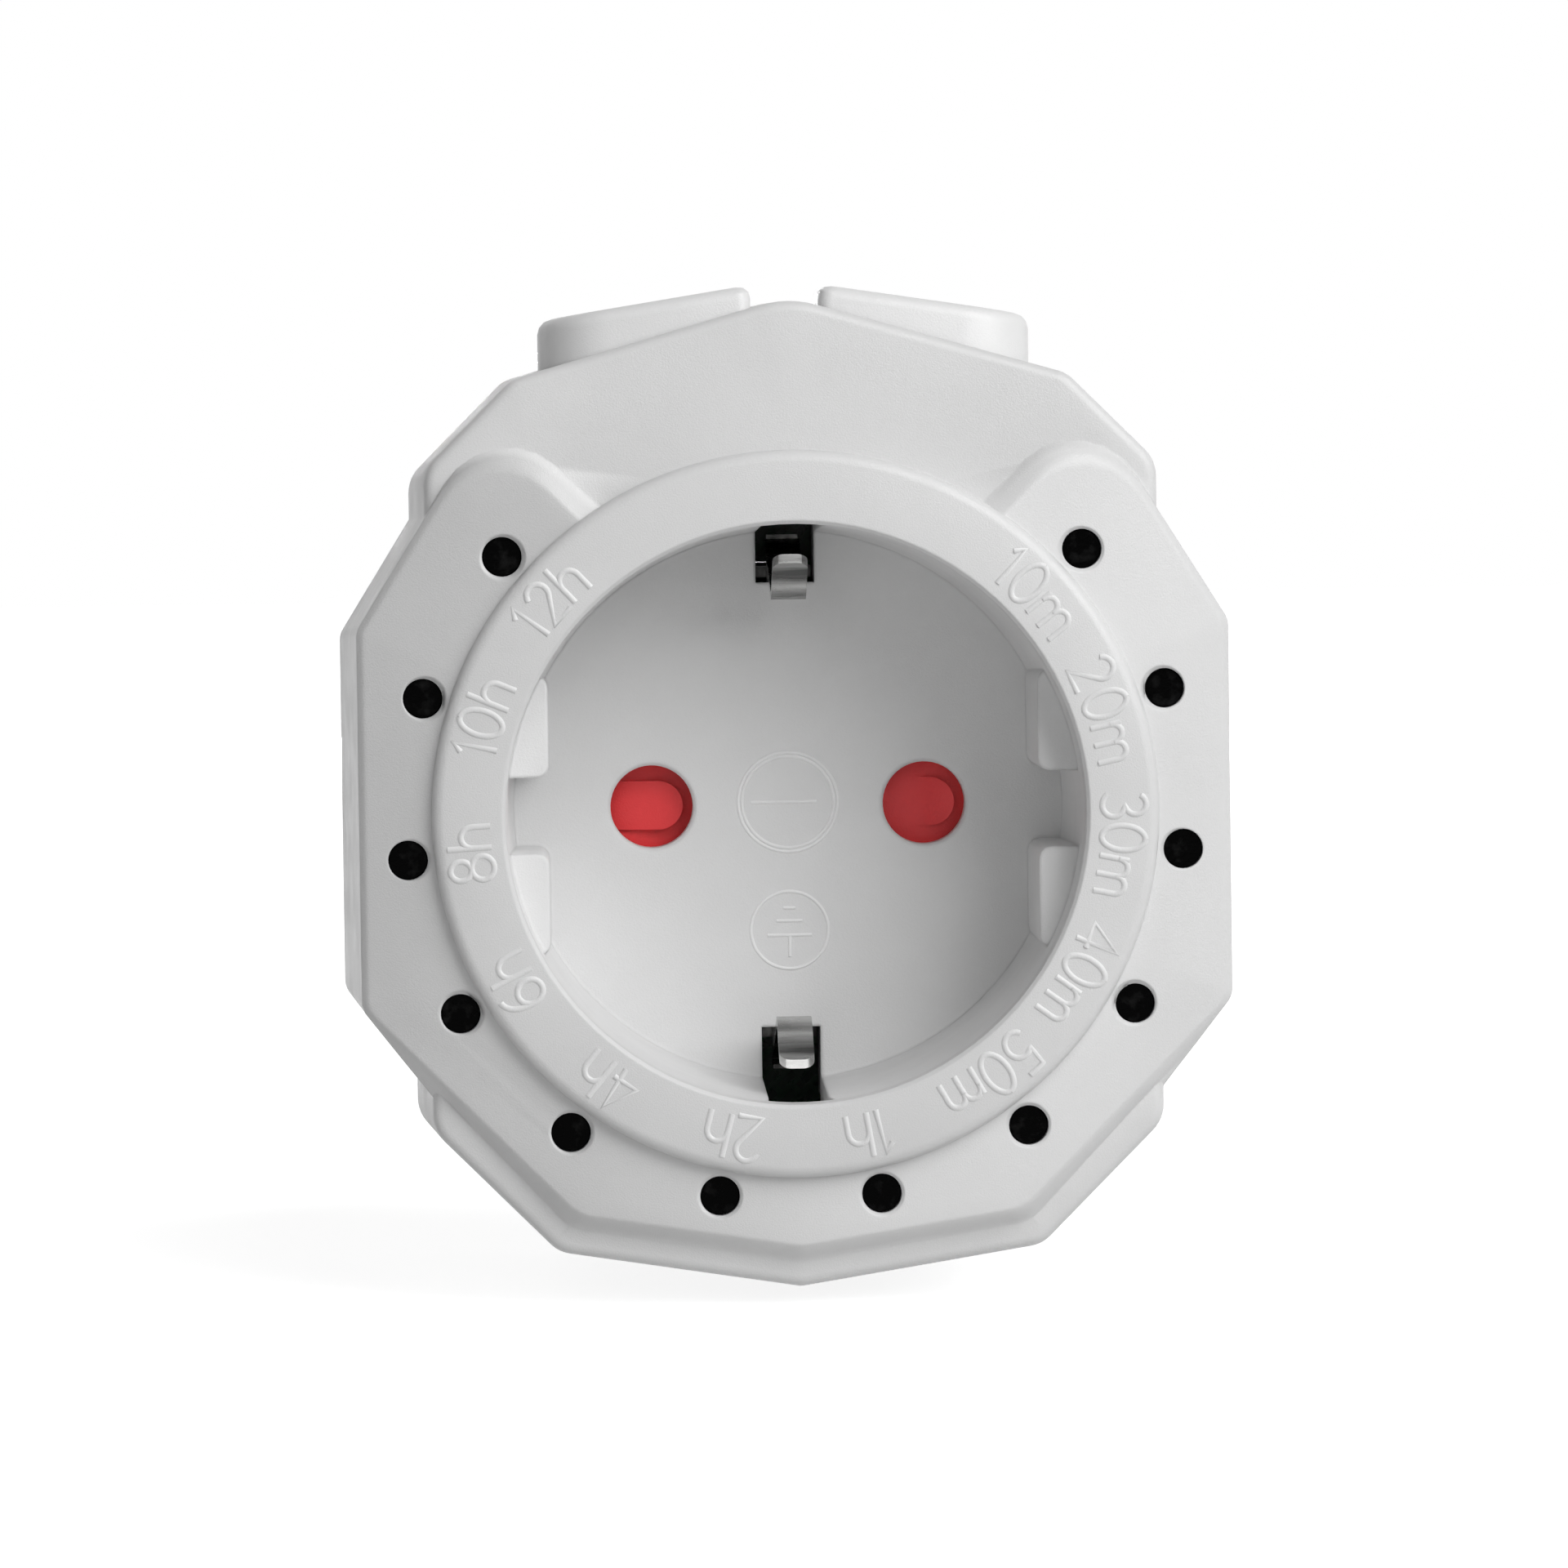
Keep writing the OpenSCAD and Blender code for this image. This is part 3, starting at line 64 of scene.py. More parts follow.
# Planes along Y and radii round the socket's axis, in metres, as in the solids
RIM_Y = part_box("front_cover")[0].y
FLOOR_Y = RIM_Y + 17.5 * MM
PLATE_Y = RIM_Y + 1.2 * MM
RING_MID_R = 22.25 * MM
RING_R = 24.7 * MM

# Camera: its distance from the rim, its drift to the side and down, its roll and its scale
DISTANCE_MM = 590
RIGHT_DRIFT = 0.0322
UP_DRIFT = -0.0373
ROLL_DEG = 0.8
RIM_PX_PER_MM = 18.1
PICTURE_PX = 1920
SENSOR_MM = 36.0
target = Vector((-0.82 * MM, RIM_Y, 2.10 * MM))
look = Vector((RIGHT_DRIFT, 1.0, UP_DRIFT))
eye = target - look * (DISTANCE_MM * MM)
look.normalize()
roll = math.radians(ROLL_DEG)
side = look.cross(Vector((0, 0, 1))).normalized()
up = side.cross(look).normalized()
up_rolled = up * math.cos(roll) + side * math.sin(roll)
side_rolled = look.cross(up_rolled).normalized()
camera_data = bpy.data.cameras.new("camera")
camera = bpy.data.objects.new("camera", camera_data)
bpy.context.scene.collection.objects.link(camera)
camera.matrix_world = Matrix((
    (side_rolled.x, up_rolled.x, -look.x, eye.x),
    (side_rolled.y, up_rolled.y, -look.y, eye.y),
    (side_rolled.z, up_rolled.z, -look.z, eye.z),
    (0, 0, 0, 1),
))
camera_data.sensor_width = SENSOR_MM
camera_data.lens = RIM_PX_PER_MM * DISTANCE_MM / PICTURE_PX * SENSOR_MM
camera_data.clip_start = 0.01
camera_data.clip_end = 20
bpy.context.scene.camera = camera


# Shader helpers
def new_material(name, colour, rough, metal=0.0):
    mat = bpy.data.materials.new(name)
    mat.use_nodes = True
    tree = mat.node_tree
    shader = tree.nodes["Principled BSDF"]
    shader.inputs["Base Color"].default_value = (*colour, 1)
    shader.inputs["Roughness"].default_value = rough
    shader.inputs["Metallic"].default_value = metal
    return mat, tree, shader


def link(tree, a, b):
    tree.links.new(a, b)


def add(tree, kind, **values):
    node = tree.nodes.new(kind)
    for key, value in values.items():
        if key in node.inputs:
            node.inputs[key].default_value = value
        else:
            setattr(node, key, value)
    return node


def grain(tree, scale, detail=3.0, rough=0.55, stretch=None):
    coords = add(tree, "ShaderNodeTexCoord")
    out = coords.outputs["Object"]
    if stretch:
        mapping = add(tree, "ShaderNodeMapping")
        mapping.inputs["Scale"].default_value = stretch
        link(tree, out, mapping.inputs["Vector"])
        out = mapping.outputs["Vector"]
    noise = add(tree, "ShaderNodeTexNoise")
    noise.inputs["Scale"].default_value = scale
    noise.inputs["Detail"].default_value = detail
    noise.inputs["Roughness"].default_value = rough
    link(tree, out, noise.inputs["Vector"])
    return noise.outputs["Fac"]


def vary(tree, fac, low, high, target_socket, mid=(0.35, 0.65)):
    node = add(tree, "ShaderNodeMapRange")
    node.inputs["From Min"].default_value = mid[0]
    node.inputs["From Max"].default_value = mid[1]
    node.inputs["To Min"].default_value = low
    node.inputs["To Max"].default_value = high
    link(tree, fac, node.inputs["Value"])
    link(tree, node.outputs["Result"], target_socket)


def tint(tree, fac, dark, light, shader, mid=(0.35, 0.65)):
    node = add(tree, "ShaderNodeValToRGB")
    node.color_ramp.elements[0].position = mid[0]
    node.color_ramp.elements[1].position = mid[1]
    node.color_ramp.elements[0].color = (*dark, 1)
    node.color_ramp.elements[1].color = (*light, 1)
    link(tree, fac, node.inputs["Fac"])
    link(tree, node.outputs["Color"], shader.inputs["Base Color"])


def bump(tree, fac, strength, distance, shader, under=None):
    node = add(tree, "ShaderNodeBump")
    node.inputs["Strength"].default_value = strength
    node.inputs["Distance"].default_value = distance
    link(tree, fac, node.inputs["Height"])
    if under is not None:
        link(tree, under, node.inputs["Normal"])
    link(tree, node.outputs["Normal"], shader.inputs["Normal"])
    return node.outputs["Normal"]


def math_node(tree, operation, a, b=0.0):
    node = add(tree, "ShaderNodeMath", operation=operation)
    for socket, value in zip(node.inputs, (a, b)):
        if isinstance(value, float):
            socket.default_value = value
        else:
            link(tree, value, socket)
    return node.outputs["Value"]


def ramp(tree, value, start, end):
    """Zero at the start value, one at the end value."""
    node = add(tree, "ShaderNodeMapRange")
    node.inputs["From Min"].default_value = start
    node.inputs["From Max"].default_value = end
    link(tree, value, node.inputs["Value"])
    return node.outputs["Result"]


# The plate's fall: where it turns from left to right, and the bands in which it fades in
FALL_WIDTH = 12 * MM
RING_FADE = 0.1 * MM
FALL_FULL_DEPTH = 0.9 * MM
FALL_END_DEPTH = 1.3 * MM


def falling_plate(tree, normal, slope):
    """Turns the plate's normal outwards to the left and right of the ring, as on a shallow crown."""
    coords = add(tree, "ShaderNodeTexCoord")
    split = add(tree, "ShaderNodeSeparateXYZ")
    link(tree, coords.outputs["Object"], split.inputs[0])
    x, y, z = split.outputs
    across = math_node(tree, "MULTIPLY", x, x)
    reach = math_node(tree, "SQRT", math_node(tree, "ADD", across, FALL_WIDTH * FALL_WIDTH))
    radius = math_node(tree, "SQRT", math_node(tree, "ADD", across, math_node(tree, "MULTIPLY", z, z)))
    outside = ramp(tree, radius, RING_R, RING_R + RING_FADE)
    above = ramp(tree, y, PLATE_Y + FALL_END_DEPTH, PLATE_Y + FALL_FULL_DEPTH)
    mask = math_node(tree, "MULTIPLY", outside, above)
    tilt = math_node(tree, "MULTIPLY", math_node(tree, "DIVIDE", x, reach),
                     math_node(tree, "MULTIPLY", mask, slope))
    lean = add(tree, "ShaderNodeCombineXYZ")
    link(tree, tilt, lean.inputs["X"])
    total = add(tree, "ShaderNodeVectorMath", operation="ADD")
    link(tree, normal, total.inputs[0])
    link(tree, lean.outputs["Vector"], total.inputs[1])
    unit = add(tree, "ShaderNodeVectorMath", operation="NORMALIZE")
    link(tree, total.outputs["Vector"], unit.inputs[0])
    return unit.outputs["Vector"]


def rounded_edges(tree, radius):
    """A shading normal that rounds the edges by a radius."""
    soft = add(tree, "ShaderNodeBevel", samples=4)
    soft.inputs["Radius"].default_value = radius
    return soft.outputs["Normal"]


# Patterns per metre, and the depths of their bumps
GLOSS_SCALE = 340.0
WAVE_SCALE = 90.0
WAVE_DEPTH = 0.4 * MM
SCRATCH_SCALE = 1800.0
SCRATCH_DEPTH = 0.02 * MM
TRACK_SCALE = 260.0
TRACK_DEPTH = 0.03 * MM


def moulded(name, dark, light, rough, coat=0.0, grain_size=9000.0, depth=0.12 * MM, edge=0.0, gloss=0.5,
            fall=0.0, cloud_size=60.0, mid=(0.3, 0.7)):
    """Moulded plastic: cloudy tone, soft edges, fine erosion grain and slight waviness in the gloss."""
    mat, tree, shader = new_material(name, light, rough)
    shader.inputs["IOR"].default_value = 1.5
    shader.inputs["Specular IOR Level"].default_value = gloss
    shader.inputs["Coat Weight"].default_value = coat
    shader.inputs["Coat Roughness"].default_value = 0.25
    cloud = grain(tree, cloud_size, 3.0)
    tint(tree, cloud, dark, light, shader, mid)
    vary(tree, grain(tree, GLOSS_SCALE, 4.0), rough - 0.05, rough + 0.06, shader.inputs["Roughness"])
    under = rounded_edges(tree, edge) if edge else None
    wave = bump(tree, grain(tree, WAVE_SCALE, 2.0), 0.10, WAVE_DEPTH, shader, under)
    fine = bump(tree, grain(tree, grain_size, 2.0), 0.22, depth, shader, wave)
    if fall:
        link(tree, falling_plate(tree, fine, fall), shader.inputs["Normal"])
    return mat


def metal(name, dark, light, rough, stretch, scratch=0.25, cloud=500.0, bands=None, edge=0.0):
    """Rolled or plated strip with marks along one direction; where bands are given, its tint is a
    painted reflection.
    """
    mat, tree, shader = new_material(name, light, rough, 1.0)
    tint(tree, grain(tree, cloud, 4.0, stretch=bands), dark, light, shader)
    marks = grain(tree, SCRATCH_SCALE, 5.0, 0.6, stretch)
    vary(tree, marks, rough - 0.08, rough + 0.14, shader.inputs["Roughness"])
    bump(tree, marks, scratch, SCRATCH_DEPTH, shader, rounded_edges(tree, edge) if edge else None)
    return mat


shell = moulded("shell_plastic", (0.61, 0.61, 0.61), (0.66, 0.66, 0.66), 0.38, edge=0.2 * MM, fall=0.26)
# The recess's grey is the shell's grey made lighter: painted light for the light that fills the recess.
recess = moulded("recess_plastic_painted_light", (0.67, 0.67, 0.67), (0.72, 0.72, 0.72), 0.44, edge=0.4 * MM)
# The numerals' grey is the ring's grey made lighter: a painted highlight on the strokes.
numeral_plastic_painted_highlight = moulded("numeral_plastic_painted_highlight", (0.66, 0.66, 0.66), (0.70, 0.70, 0.70), 0.36)
# The marks' grey is lighter than the floor they stand on: a painted highlight on the strokes.
mark_plastic_painted_highlight = moulded("mark_plastic_painted_highlight", (0.78, 0.78, 0.78), (0.82, 0.82, 0.82), 0.40)
button_plastic = moulded("button_plastic", (0.68, 0.68, 0.68), (0.73, 0.73, 0.73), 0.34, edge=0.3 * MM)
carrier_plastic = moulded("carrier_plastic", (0.20, 0.20, 0.21), (0.25, 0.25, 0.26), 0.5)
black_plastic = moulded("black_plastic", (0.010, 0.010, 0.011), (0.016, 0.016, 0.018), 0.42)
smoked = moulded("smoked_window", (0.0004, 0.0004, 0.0004), (0.012, 0.012, 0.012), 0.20,
                 grain_size=3000.0, gloss=0.02, cloud_size=900.0, mid=(0.52, 0.8))
red_plastic = moulded("red_plastic", (0.86, 0.058, 0.064), (0.96, 0.080, 0.086), 0.34, gloss=0.25)
ribbon = moulded("ribbon_cable", (0.22, 0.23, 0.25), (0.30, 0.31, 0.33), 0.55)
relay_case = moulded("relay_case", (0.020, 0.085, 0.26), (0.035, 0.12, 0.33), 0.4)
film_case = moulded("film_case", (0.55, 0.36, 0.03), (0.68, 0.46, 0.05), 0.3, 0.3)
disc_coat = moulded("disc_coat", (0.04, 0.12, 0.33), (0.05, 0.16, 0.41), 0.25, 0.4, 700.0, 0.4 * MM)
resistor_coat = moulded("resistor_coat", (0.42, 0.23, 0.10), (0.50, 0.29, 0.14), 0.45)
lamp_body = moulded("lamp_body", (0.72, 0.70, 0.62), (0.82, 0.80, 0.72), 0.25, 0.4)
nickel = metal("nickel_plate", (0.46, 0.46, 0.45), (0.53, 0.53, 0.52), 0.17, (1.0, 0.15, 1.0), 0.05,
               edge=0.8 * MM)
brass = metal("brass_strip", (0.57, 0.40, 0.135), (0.64, 0.45, 0.16), 0.28, (1.0, 0.15, 1.0))
# Nearly black plated metal for the earth strap and the plug's earth contacts: painted shade of the dark
# slot they sit behind.
tin_painted_shade = metal("tin_plate_painted_shade", (0.07, 0.07, 0.068), (0.12, 0.12, 0.117), 0.40, (1.0, 0.15, 1.0))
# The earth clips' strip: its tint swings from near black to light in long bands, a painted reflection.
spring = metal("spring_strip_painted_reflection", (0.10, 0.10, 0.098), (0.68, 0.68, 0.67), 0.18, (0.3, 1.0, 1.0), 0.14,
               420.0, (0.12, 1.0, 1.0))
steel = metal("zinc_steel", (0.47, 0.48, 0.50), (0.54, 0.55, 0.57), 0.34, (1.0, 0.2, 1.0))
can = metal("can_aluminium", (0.10, 0.11, 0.13), (0.17, 0.18, 0.20), 0.38, (1.0, 0.1, 1.0))


def laminate(name, dark, light):
    """Lacquered board: faint tracks under the green mask."""
    mat, tree, shader = new_material(name, light, 0.3)
    coords = add(tree, "ShaderNodeTexCoord")
    brick = add(tree, "ShaderNodeTexBrick")
    brick.inputs["Scale"].default_value = TRACK_SCALE
    brick.inputs["Mortar Size"].default_value = 0.06
    brick.inputs["Color1"].default_value = (*dark, 1)
    brick.inputs["Color2"].default_value = (*[0.7 * a + 0.3 * b for a, b in zip(dark, light)], 1)
    brick.inputs["Mortar"].default_value = (*light, 1)
    mapping = add(tree, "ShaderNodeMapping")
    mapping.inputs["Rotation"].default_value = (math.radians(90), 0, math.radians(45))
    link(tree, coords.outputs["Object"], mapping.inputs["Vector"])
    link(tree, mapping.outputs["Vector"], brick.inputs["Vector"])
    link(tree, brick.outputs["Color"], shader.inputs["Base Color"])
    vary(tree, grain(tree, 800.0, 3.0), 0.24, 0.38, shader.inputs["Roughness"])
    bump(tree, brick.outputs["Fac"], 0.15, TRACK_DEPTH, shader)
    return mat


board = laminate("board_laminate", (0.007, 0.045, 0.020), (0.016, 0.085, 0.035))

DRESS = {
    "front_cover": shell, "rear_cover": shell, "socket_insert": recess, "light_guide": smoked,
    "control_pcb": board, "power_pcb": board, "key_board": board,
    "microcontroller": black_plastic, "board_header": black_plastic, "ribbon_cable": ribbon,
    "tact_switch_left": black_plastic, "tact_switch_right": black_plastic,
    "tact_plunger_left": black_plastic, "tact_plunger_right": black_plastic,
    "button_left": button_plastic, "button_right": button_plastic,
    "shutter": red_plastic, "shutter_spring": steel, "contact_carrier": carrier_plastic,
    "line_contact": brass, "neutral_contact": brass, "earth_strap": tin_painted_shade,
    "earth_clip_top": spring, "earth_clip_bottom": spring,
    "plug_earth_contact_top": tin_painted_shade, "plug_earth_contact_bottom": tin_painted_shade,
    "plug_pin_line": nickel, "plug_pin_neutral": nickel,
    "relay": relay_case, "film_capacitor": film_case, "electrolytic_capacitor": can,
    "varistor": disc_coat, "fuse_resistor": resistor_coat, "screws": steel,
}


def dress(name, mat):
    obj = nodes[name]
    obj.data.materials.clear()
    obj.data.materials.append(mat)
    for poly in obj.data.polygons:
        poly.material_index = 0


for name, mat in DRESS.items():
    dress(name, mat)
for name in nodes:
    if name.startswith("led_"):
        dress(name, lamp_body)


def smoothing_group(degrees):
    """Soft shading across shallow edges; the edges over the angle stay sharp."""
    group = bpy.data.node_groups.new("soft_edges", "GeometryNodeTree")
    group.interface.new_socket("Geometry", in_out="INPUT", socket_type="NodeSocketGeometry")
    group.interface.new_socket("Geometry", in_out="OUTPUT", socket_type="NodeSocketGeometry")
    start, end = group.nodes.new("NodeGroupInput"), group.nodes.new("NodeGroupOutput")
    faces = group.nodes.new("GeometryNodeSetShadeSmooth")
    edges = group.nodes.new("GeometryNodeSetShadeSmooth")
    edges.domain = "EDGE"
    edges.inputs["Shade Smooth"].default_value = False
    angle = group.nodes.new("GeometryNodeInputMeshEdgeAngle")
    wide = group.nodes.new("FunctionNodeCompare")
    wide.inputs["B"].default_value = math.radians(degrees)
    group.links.new(start.outputs[0], faces.inputs["Geometry"])
    group.links.new(faces.outputs["Geometry"], edges.inputs["Geometry"])
    group.links.new(angle.outputs["Unsigned Angle"], wide.inputs["A"])
    group.links.new(wide.outputs["Result"], edges.inputs["Selection"])
    group.links.new(edges.outputs["Geometry"], end.inputs[0])
    return group


soft_edges = smoothing_group(32)


def soften(obj):
    """Joins the seams between faces for the looks alone and shades by angle."""
    if "custom_normal" in obj.data.attributes:
        obj.data.attributes.remove(obj.data.attributes["custom_normal"])
    weld = obj.modifiers.new("weld", "WELD")
    weld.merge_threshold = 0.000002
    shade = obj.modifiers.new("soft_edges", "NODES")
    shade.node_group = soft_edges


# Stage
def staged_plane(name, corners, mat):
    mesh = bpy.data.meshes.new(name)
    mesh.from_pydata(corners, [], [tuple(range(len(corners)))])
    obj = bpy.data.objects.new(name, mesh)
    bpy.context.scene.collection.objects.link(obj)
    obj.data.materials.append(mat)
    return obj


def seen_rays(tree):
    """One for the rays that show the stage itself, also in a reflection or through glass."""
    path = add(tree, "ShaderNodeLightPath")
    first = math_node(tree, "MAXIMUM", path.outputs["Is Camera Ray"], path.outputs["Is Glossy Ray"])
    return math_node(tree, "MAXIMUM", first, path.outputs["Is Transmission Ray"])


def floor_material(name, bounce):
    """Seen as white; near the object only where the lamps reach it, so that its shadow shows."""
    mat = bpy.data.materials.new(name)
    mat.use_nodes = True
    tree = mat.node_tree
    tree.nodes.clear()
    out = add(tree, "ShaderNodeOutputMaterial")
    mix = add(tree, "ShaderNodeMixShader")
    seen = add(tree, "ShaderNodeAddShader")
    white = add(tree, "ShaderNodeEmission")
    white.inputs["Color"].default_value = (1, 1, 1, 1)
    place = add(tree, "ShaderNodeNewGeometry")
    away = add(tree, "ShaderNodeVectorMath", operation="LENGTH")
    link(tree, place.outputs["Position"], away.inputs[0])
    vary(tree, away.outputs["Value"], 0.84, 1.0, white.inputs["Strength"], (0.08, 0.32))
    soft = add(tree, "ShaderNodeBsdfDiffuse")
    soft.inputs["Color"].default_value = (bounce, bounce, bounce, 1)
    link(tree, white.outputs["Emission"], seen.inputs[0])
    link(tree, soft.outputs["BSDF"], seen.inputs[1])
    link(tree, seen_rays(tree), mix.inputs["Fac"])
    link(tree, soft.outputs["BSDF"], mix.inputs[1])
    link(tree, seen.outputs["Shader"], mix.inputs[2])
    link(tree, mix.outputs["Shader"], out.inputs["Surface"])
    return mat


STAGE_HALF = 3
STAGE_GAP = 0.2 * MM
stage_z = cad_box[0][2] - STAGE_GAP
stage_corners = [(-STAGE_HALF, -STAGE_HALF), (STAGE_HALF, -STAGE_HALF),
                 (STAGE_HALF, STAGE_HALF), (-STAGE_HALF, STAGE_HALF)]
staged_plane("floor", [(x, y, stage_z) for x, y in stage_corners], floor_material("pale_floor", 0.7))


# Light: each lamp with its place, what it points at, its size in metres and its power in watts
MIDDLE = (0, -0.05, 0)


def area_light(name, place, aim, size, power):
    data = bpy.data.lights.new(name, "AREA")
    data.shape = "RECTANGLE"
    data.size, data.size_y = size
    data.energy = power
    obj = bpy.data.objects.new(name, data)
    bpy.context.scene.collection.objects.link(obj)
    obj.location = place
    obj.rotation_euler = (Vector(aim) - Vector(place)).to_track_quat("-Z", "Y").to_euler()
    return obj


area_light("key", (0.46, -0.60, 0.50), MIDDLE, (0.75, 0.75), 8.0)
area_light("fill_left", (-0.90, -0.30, 0.02), MIDDLE, (0.6, 0.8), 0.3)
front = area_light("front", (-0.15, -1.1, 0.1), MIDDLE, (0.9, 0.9), 0.9)
front.visible_glossy = False
area_light("back", (0, 1.2, 0), (0, 0, 0), (0.2, 0.2), 3.2)

# White behind the object and in its reflections; the light on it is dimmer
world = bpy.data.worlds.new("studio")
bpy.context.scene.world = world
world.use_nodes = True
wt = world.node_tree
wt.nodes.clear()
w_out = wt.nodes.new("ShaderNodeOutputWorld")
w_mix = wt.nodes.new("ShaderNodeMixShader")
w_white = wt.nodes.new("ShaderNodeBackground")
w_white.inputs["Color"].default_value = (1, 1, 1, 1)
w_white.inputs["Strength"].default_value = 1.0
w_soft = wt.nodes.new("ShaderNodeBackground")
w_soft.inputs["Color"].default_value = (1, 1, 1, 1)
w_soft.inputs["Strength"].default_value = 0.14
link(wt, seen_rays(wt), w_mix.inputs["Fac"])
link(wt, w_soft.outputs["Background"], w_mix.inputs[1])
link(wt, w_white.outputs["Background"], w_mix.inputs[2])
link(wt, w_mix.outputs["Shader"], w_out.inputs["Surface"])

bpy.context.scene.view_settings.view_transform = "Standard"
bpy.context.scene.view_settings.look = "None"

# Numerals on the ring: raised strokes, sunk by their centre's depth
STROKE_R = 0.30 * MM
STROKE_Y = RIM_Y + 0.20 * MM


def arc(cx, cy, rx, ry, a0, a1, steps=12):
    out = []
    for k in range(steps + 1):
        a = math.radians(a0 + (a1 - a0) * k / steps)
        out.append((cx + rx * math.cos(a), cy + ry * math.sin(a)))
    return out


# Each glyph: its width and its strokes, in a box one unit high
GLYPHS = {
    "0": (0.56, [arc(0.28, 0.5, 0.28, 0.5, 90, 450, 28)]),
    "1": (0.26, [[(0.02, 0.80), (0.20, 1.0), (0.20, 0.0)]]),
    "2": (0.56, [arc(0.28, 0.74, 0.25, 0.26, 165, -35, 12) + [(0.02, 0.0), (0.56, 0.0)]]),
    "3": (0.52, [arc(0.25, 0.76, 0.23, 0.24, 150, -90, 14) + arc(0.25, 0.26, 0.27, 0.26, 90, -150, 14)]),
    "4": (0.60, [[(0.46, 0.0), (0.46, 1.0), (0.0, 0.28), (0.60, 0.28)]]),
    "5": (0.54, [[(0.50, 1.0), (0.10, 1.0), (0.06, 0.56)] + arc(0.26, 0.31, 0.27, 0.31, 120, -150, 16)]),
    "6": (0.54, [arc(0.42, 0.34, 0.42, 0.66, 90, 178, 10) + arc(0.27, 0.30, 0.27, 0.30, 180, 540, 22)]),
    "8": (0.54, [arc(0.27, 0.76, 0.22, 0.24, -90, 270, 20), arc(0.27, 0.26, 0.27, 0.26, 90, 450, 22)]),
    "h": (0.50, [[(0.0, 1.0), (0.0, 0.0)],
                 [(0.0, 0.42)] + arc(0.24, 0.42, 0.24, 0.26, 180, 0, 12) + [(0.48, 0.0)]]),
    "m": (0.80, [[(0.0, 0.68), (0.0, 0.0)],
                 [(0.0, 0.44)] + arc(0.20, 0.46, 0.20, 0.22, 180, 0, 10) + [(0.40, 0.0)],
                 [(0.40, 0.44)] + arc(0.60, 0.46, 0.20, 0.22, 180, 0, 10) + [(0.80, 0.0)]]),
}
LABELS = ["10m", "20m", "30m", "40m", "50m", "1h", "2h", "4h", "6h", "8h", "10h", "12h"]
GLYPH_H = 3.0 * MM
GLYPH_GAP = 0.62 * MM
FIRST_LABEL_DEG = 42
LABEL_STEP_DEG = 24


def stroke_curve(name, strokes, radius, resolution=3):
    """Round strokes along lists of points, partly sunk in what carries them."""
    data = bpy.data.curves.new(name, "CURVE")
    data.dimensions = "3D"
    data.bevel_depth = radius
    data.bevel_resolution = resolution
    data.use_fill_caps = True
    for points in strokes:
        spline = data.splines.new("POLY")
        spline.points.add(len(points) - 1)
        for p, co in zip(spline.points, points):
            p.co = (*co, 1)
    obj = bpy.data.objects.new(name, data)
    bpy.context.scene.collection.objects.link(obj)
    return obj


def label_strokes(text, angle, mid_r, y):
    """The text wrapped round the ring, its middle at the angle, tops outward, read clockwise."""
    widths = [GLYPHS[c][0] * GLYPH_H for c in text]
    total = sum(widths) + GLYPH_GAP * (len(text) - 1)
    out, run = [], -total / 2
    for c, w in zip(text, widths):
        mid = run + w / 2
        a = angle - mid / mid_r
        radial = Vector((math.cos(a), math.sin(a)))
        along = Vector((math.sin(a), -math.cos(a)))
        for stroke in GLYPHS[c][1]:
            pts = []
            for gx, gy in stroke:
                p = radial * (mid_r + (gy - 0.5) * GLYPH_H) + along * (gx * GLYPH_H - w / 2)
                pts.append((p.x, y, p.y))
            out.append(pts)
        run += w + GLYPH_GAP
    return out


numeral_strokes = []
for k, text in enumerate(LABELS):
    angle = math.radians(FIRST_LABEL_DEG - LABEL_STEP_DEG * k)
    numeral_strokes += label_strokes(text, angle, RING_MID_R, STROKE_Y)
numerals = stroke_curve("dial_numerals", numeral_strokes, STROKE_R)
# Their lighter grey is a painted highlight.
numerals.data.materials.append(numeral_plastic_painted_highlight)
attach(numerals, "housing")

# Marks on the recess's floor, with their places in millimetres
MARK_R = 0.14 * MM
MARK_Y = FLOOR_Y + 0.06 * MM
RATING_Z = 0.2
EARTH_Z = -8.75


def circle(x, z, r, steps=72):
    return [(x + r * math.cos(math.tau * k / steps), MARK_Y, z + r * math.sin(math.tau * k / steps))
            for k in range(steps + 1)]


def bar(x, z, half):
    return [(x - half, MARK_Y, z), (x + half, MARK_Y, z)]


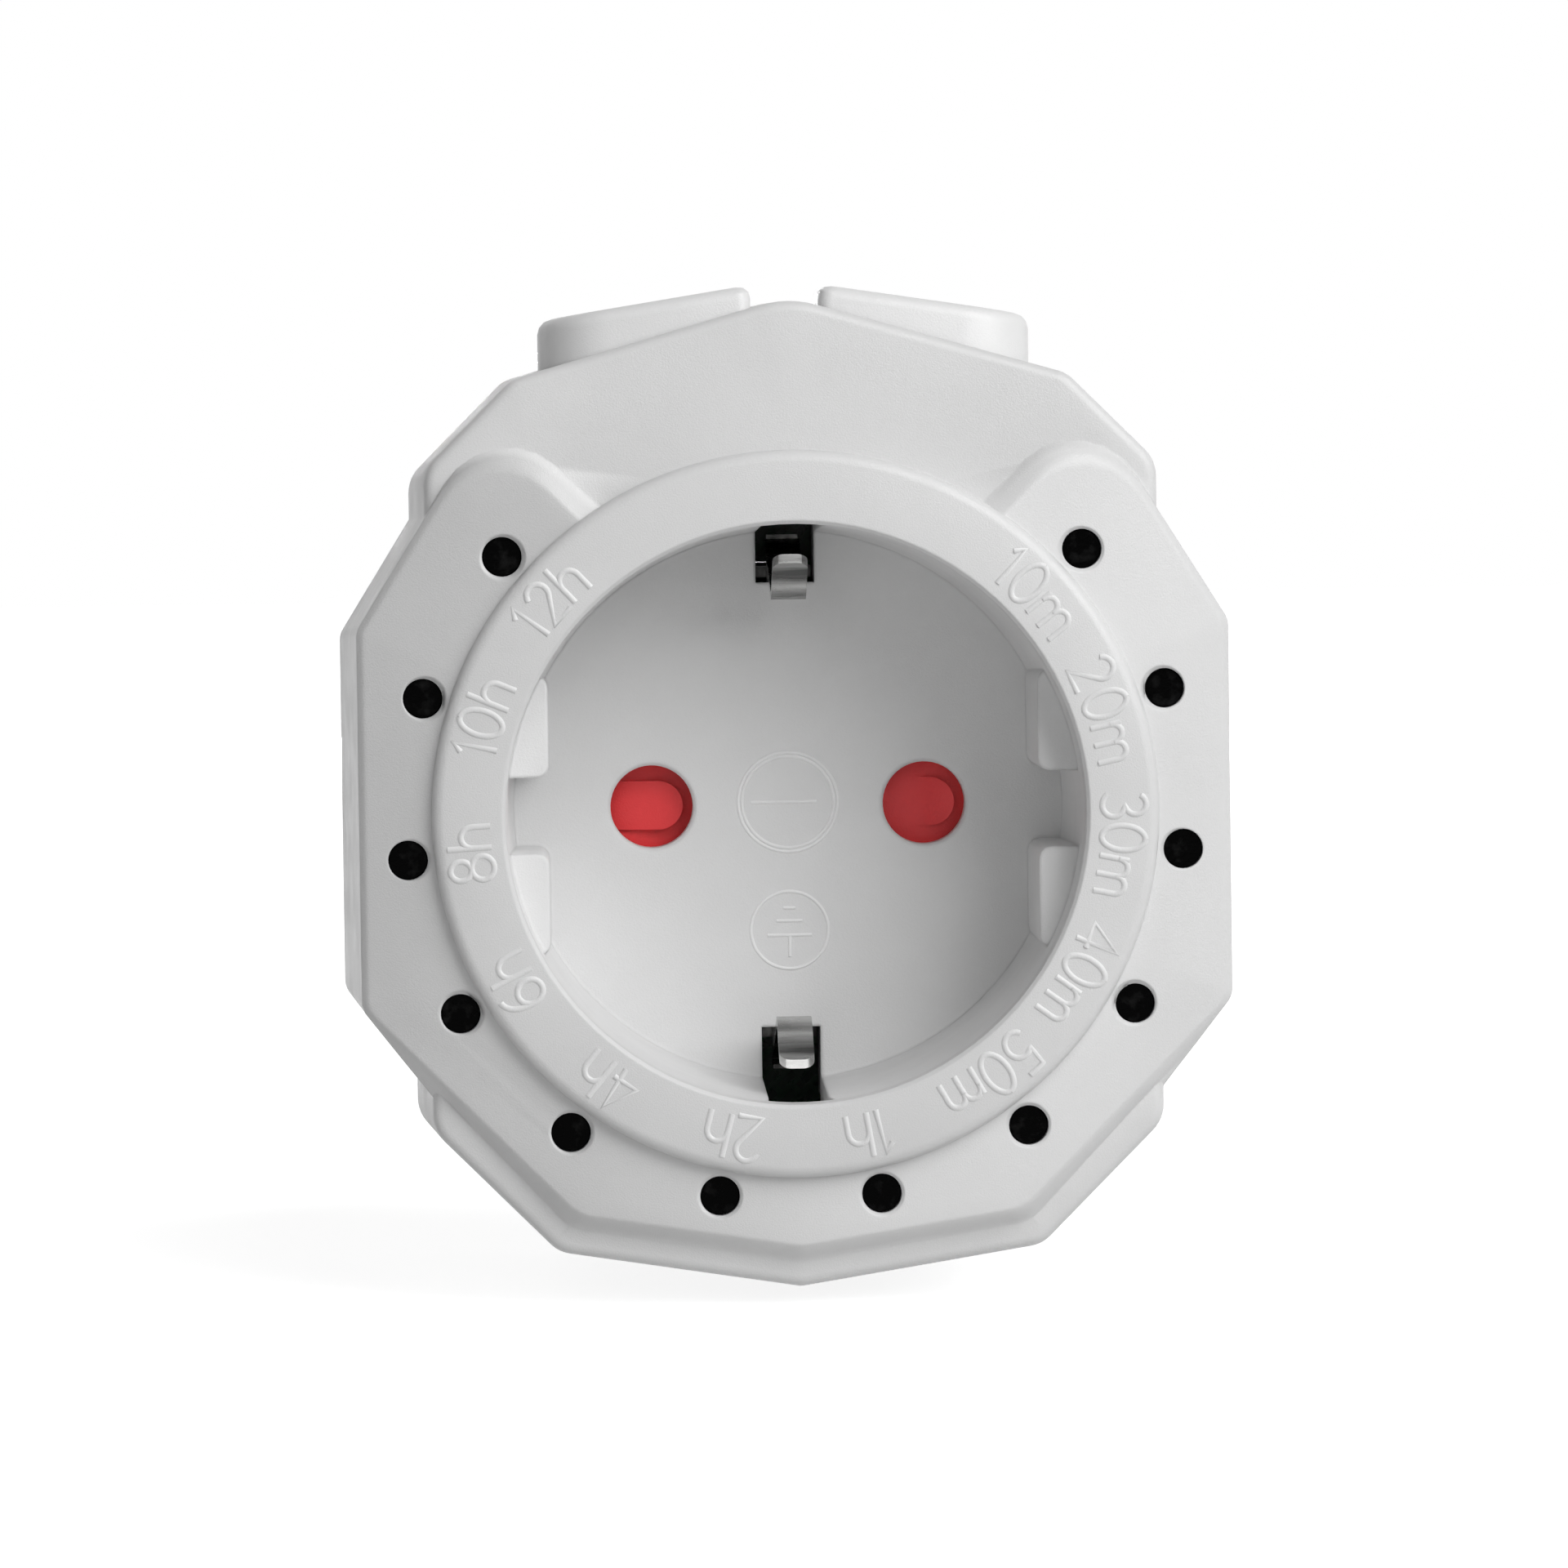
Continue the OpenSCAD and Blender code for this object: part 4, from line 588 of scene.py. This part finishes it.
marks = [
    circle(0, RATING_Z, 3.47), circle(0, RATING_Z, 3.2), bar(-0.3, RATING_Z, 2.3),
    circle(0, EARTH_Z, 2.7),
    bar(0, EARTH_Z + 1.55, 0.42), bar(0, EARTH_Z + 0.65, 0.9), bar(0, EARTH_Z - 0.35, 1.55),
    [(0, MARK_Y, EARTH_Z - 0.35), (0, MARK_Y, EARTH_Z - 1.85)],
]
marks = [[(x * MM, y, z * MM) for x, y, z in line] for line in marks]
floor_marks = stroke_curve("floor_marks", marks, MARK_R)
# Their lighter grey is a painted highlight.
floor_marks.data.materials.append(mark_plastic_painted_highlight)
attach(floor_marks, "housing")

# The shutter's return spring
WIRE_R = 0.18 * MM
COIL_TURNS, COIL_RINGS, COIL_SIDES = 9, 24, 10


def coil(name, low, high):
    """A closed tube along a helix round X that fills the box between two corners."""
    middle = (low + high) / 2
    radius = (high.z - low.z) / 2 - WIRE_R
    start, length = low.x + WIRE_R, high.x - low.x - 2 * WIRE_R
    count = COIL_TURNS * COIL_RINGS
    points, faces = [], []
    for k in range(count + 1):
        a = math.tau * k / COIL_RINGS
        out = Vector((0, math.cos(a), math.sin(a)))
        pitch = length / COIL_TURNS / math.tau
        ahead = Vector((pitch, -radius * math.sin(a), radius * math.cos(a))).normalized()
        across = ahead.cross(out)
        centre = Vector((start + length * k / count, middle.y, middle.z)) + radius * out
        for s in range(COIL_SIDES):
            b = math.tau * s / COIL_SIDES
            points.append(centre + WIRE_R * (math.cos(b) * out + math.sin(b) * across))
    for k in range(count):
        row, above = k * COIL_SIDES, (k + 1) * COIL_SIDES
        for s in range(COIL_SIDES):
            t = (s + 1) % COIL_SIDES
            faces.append((row + s, row + t, above + t, above + s))
    faces.append(tuple(reversed(range(COIL_SIDES))))
    faces.append(tuple(range(count * COIL_SIDES, (count + 1) * COIL_SIDES)))
    mesh = bpy.data.meshes.new(name)
    mesh.from_pydata(points, [], faces)
    mesh.update()
    obj = bpy.data.objects.new(name, mesh)
    bpy.context.scene.collection.objects.link(obj)
    return obj


spring_low, spring_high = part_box("shutter_spring")
return_spring = coil("return_spring", spring_low, spring_high)
return_spring.data.materials.append(steel)
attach(return_spring, "housing")
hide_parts("shutter_spring")
soften(return_spring)
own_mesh(return_spring)

for obj in nodes.values():
    soften(obj)
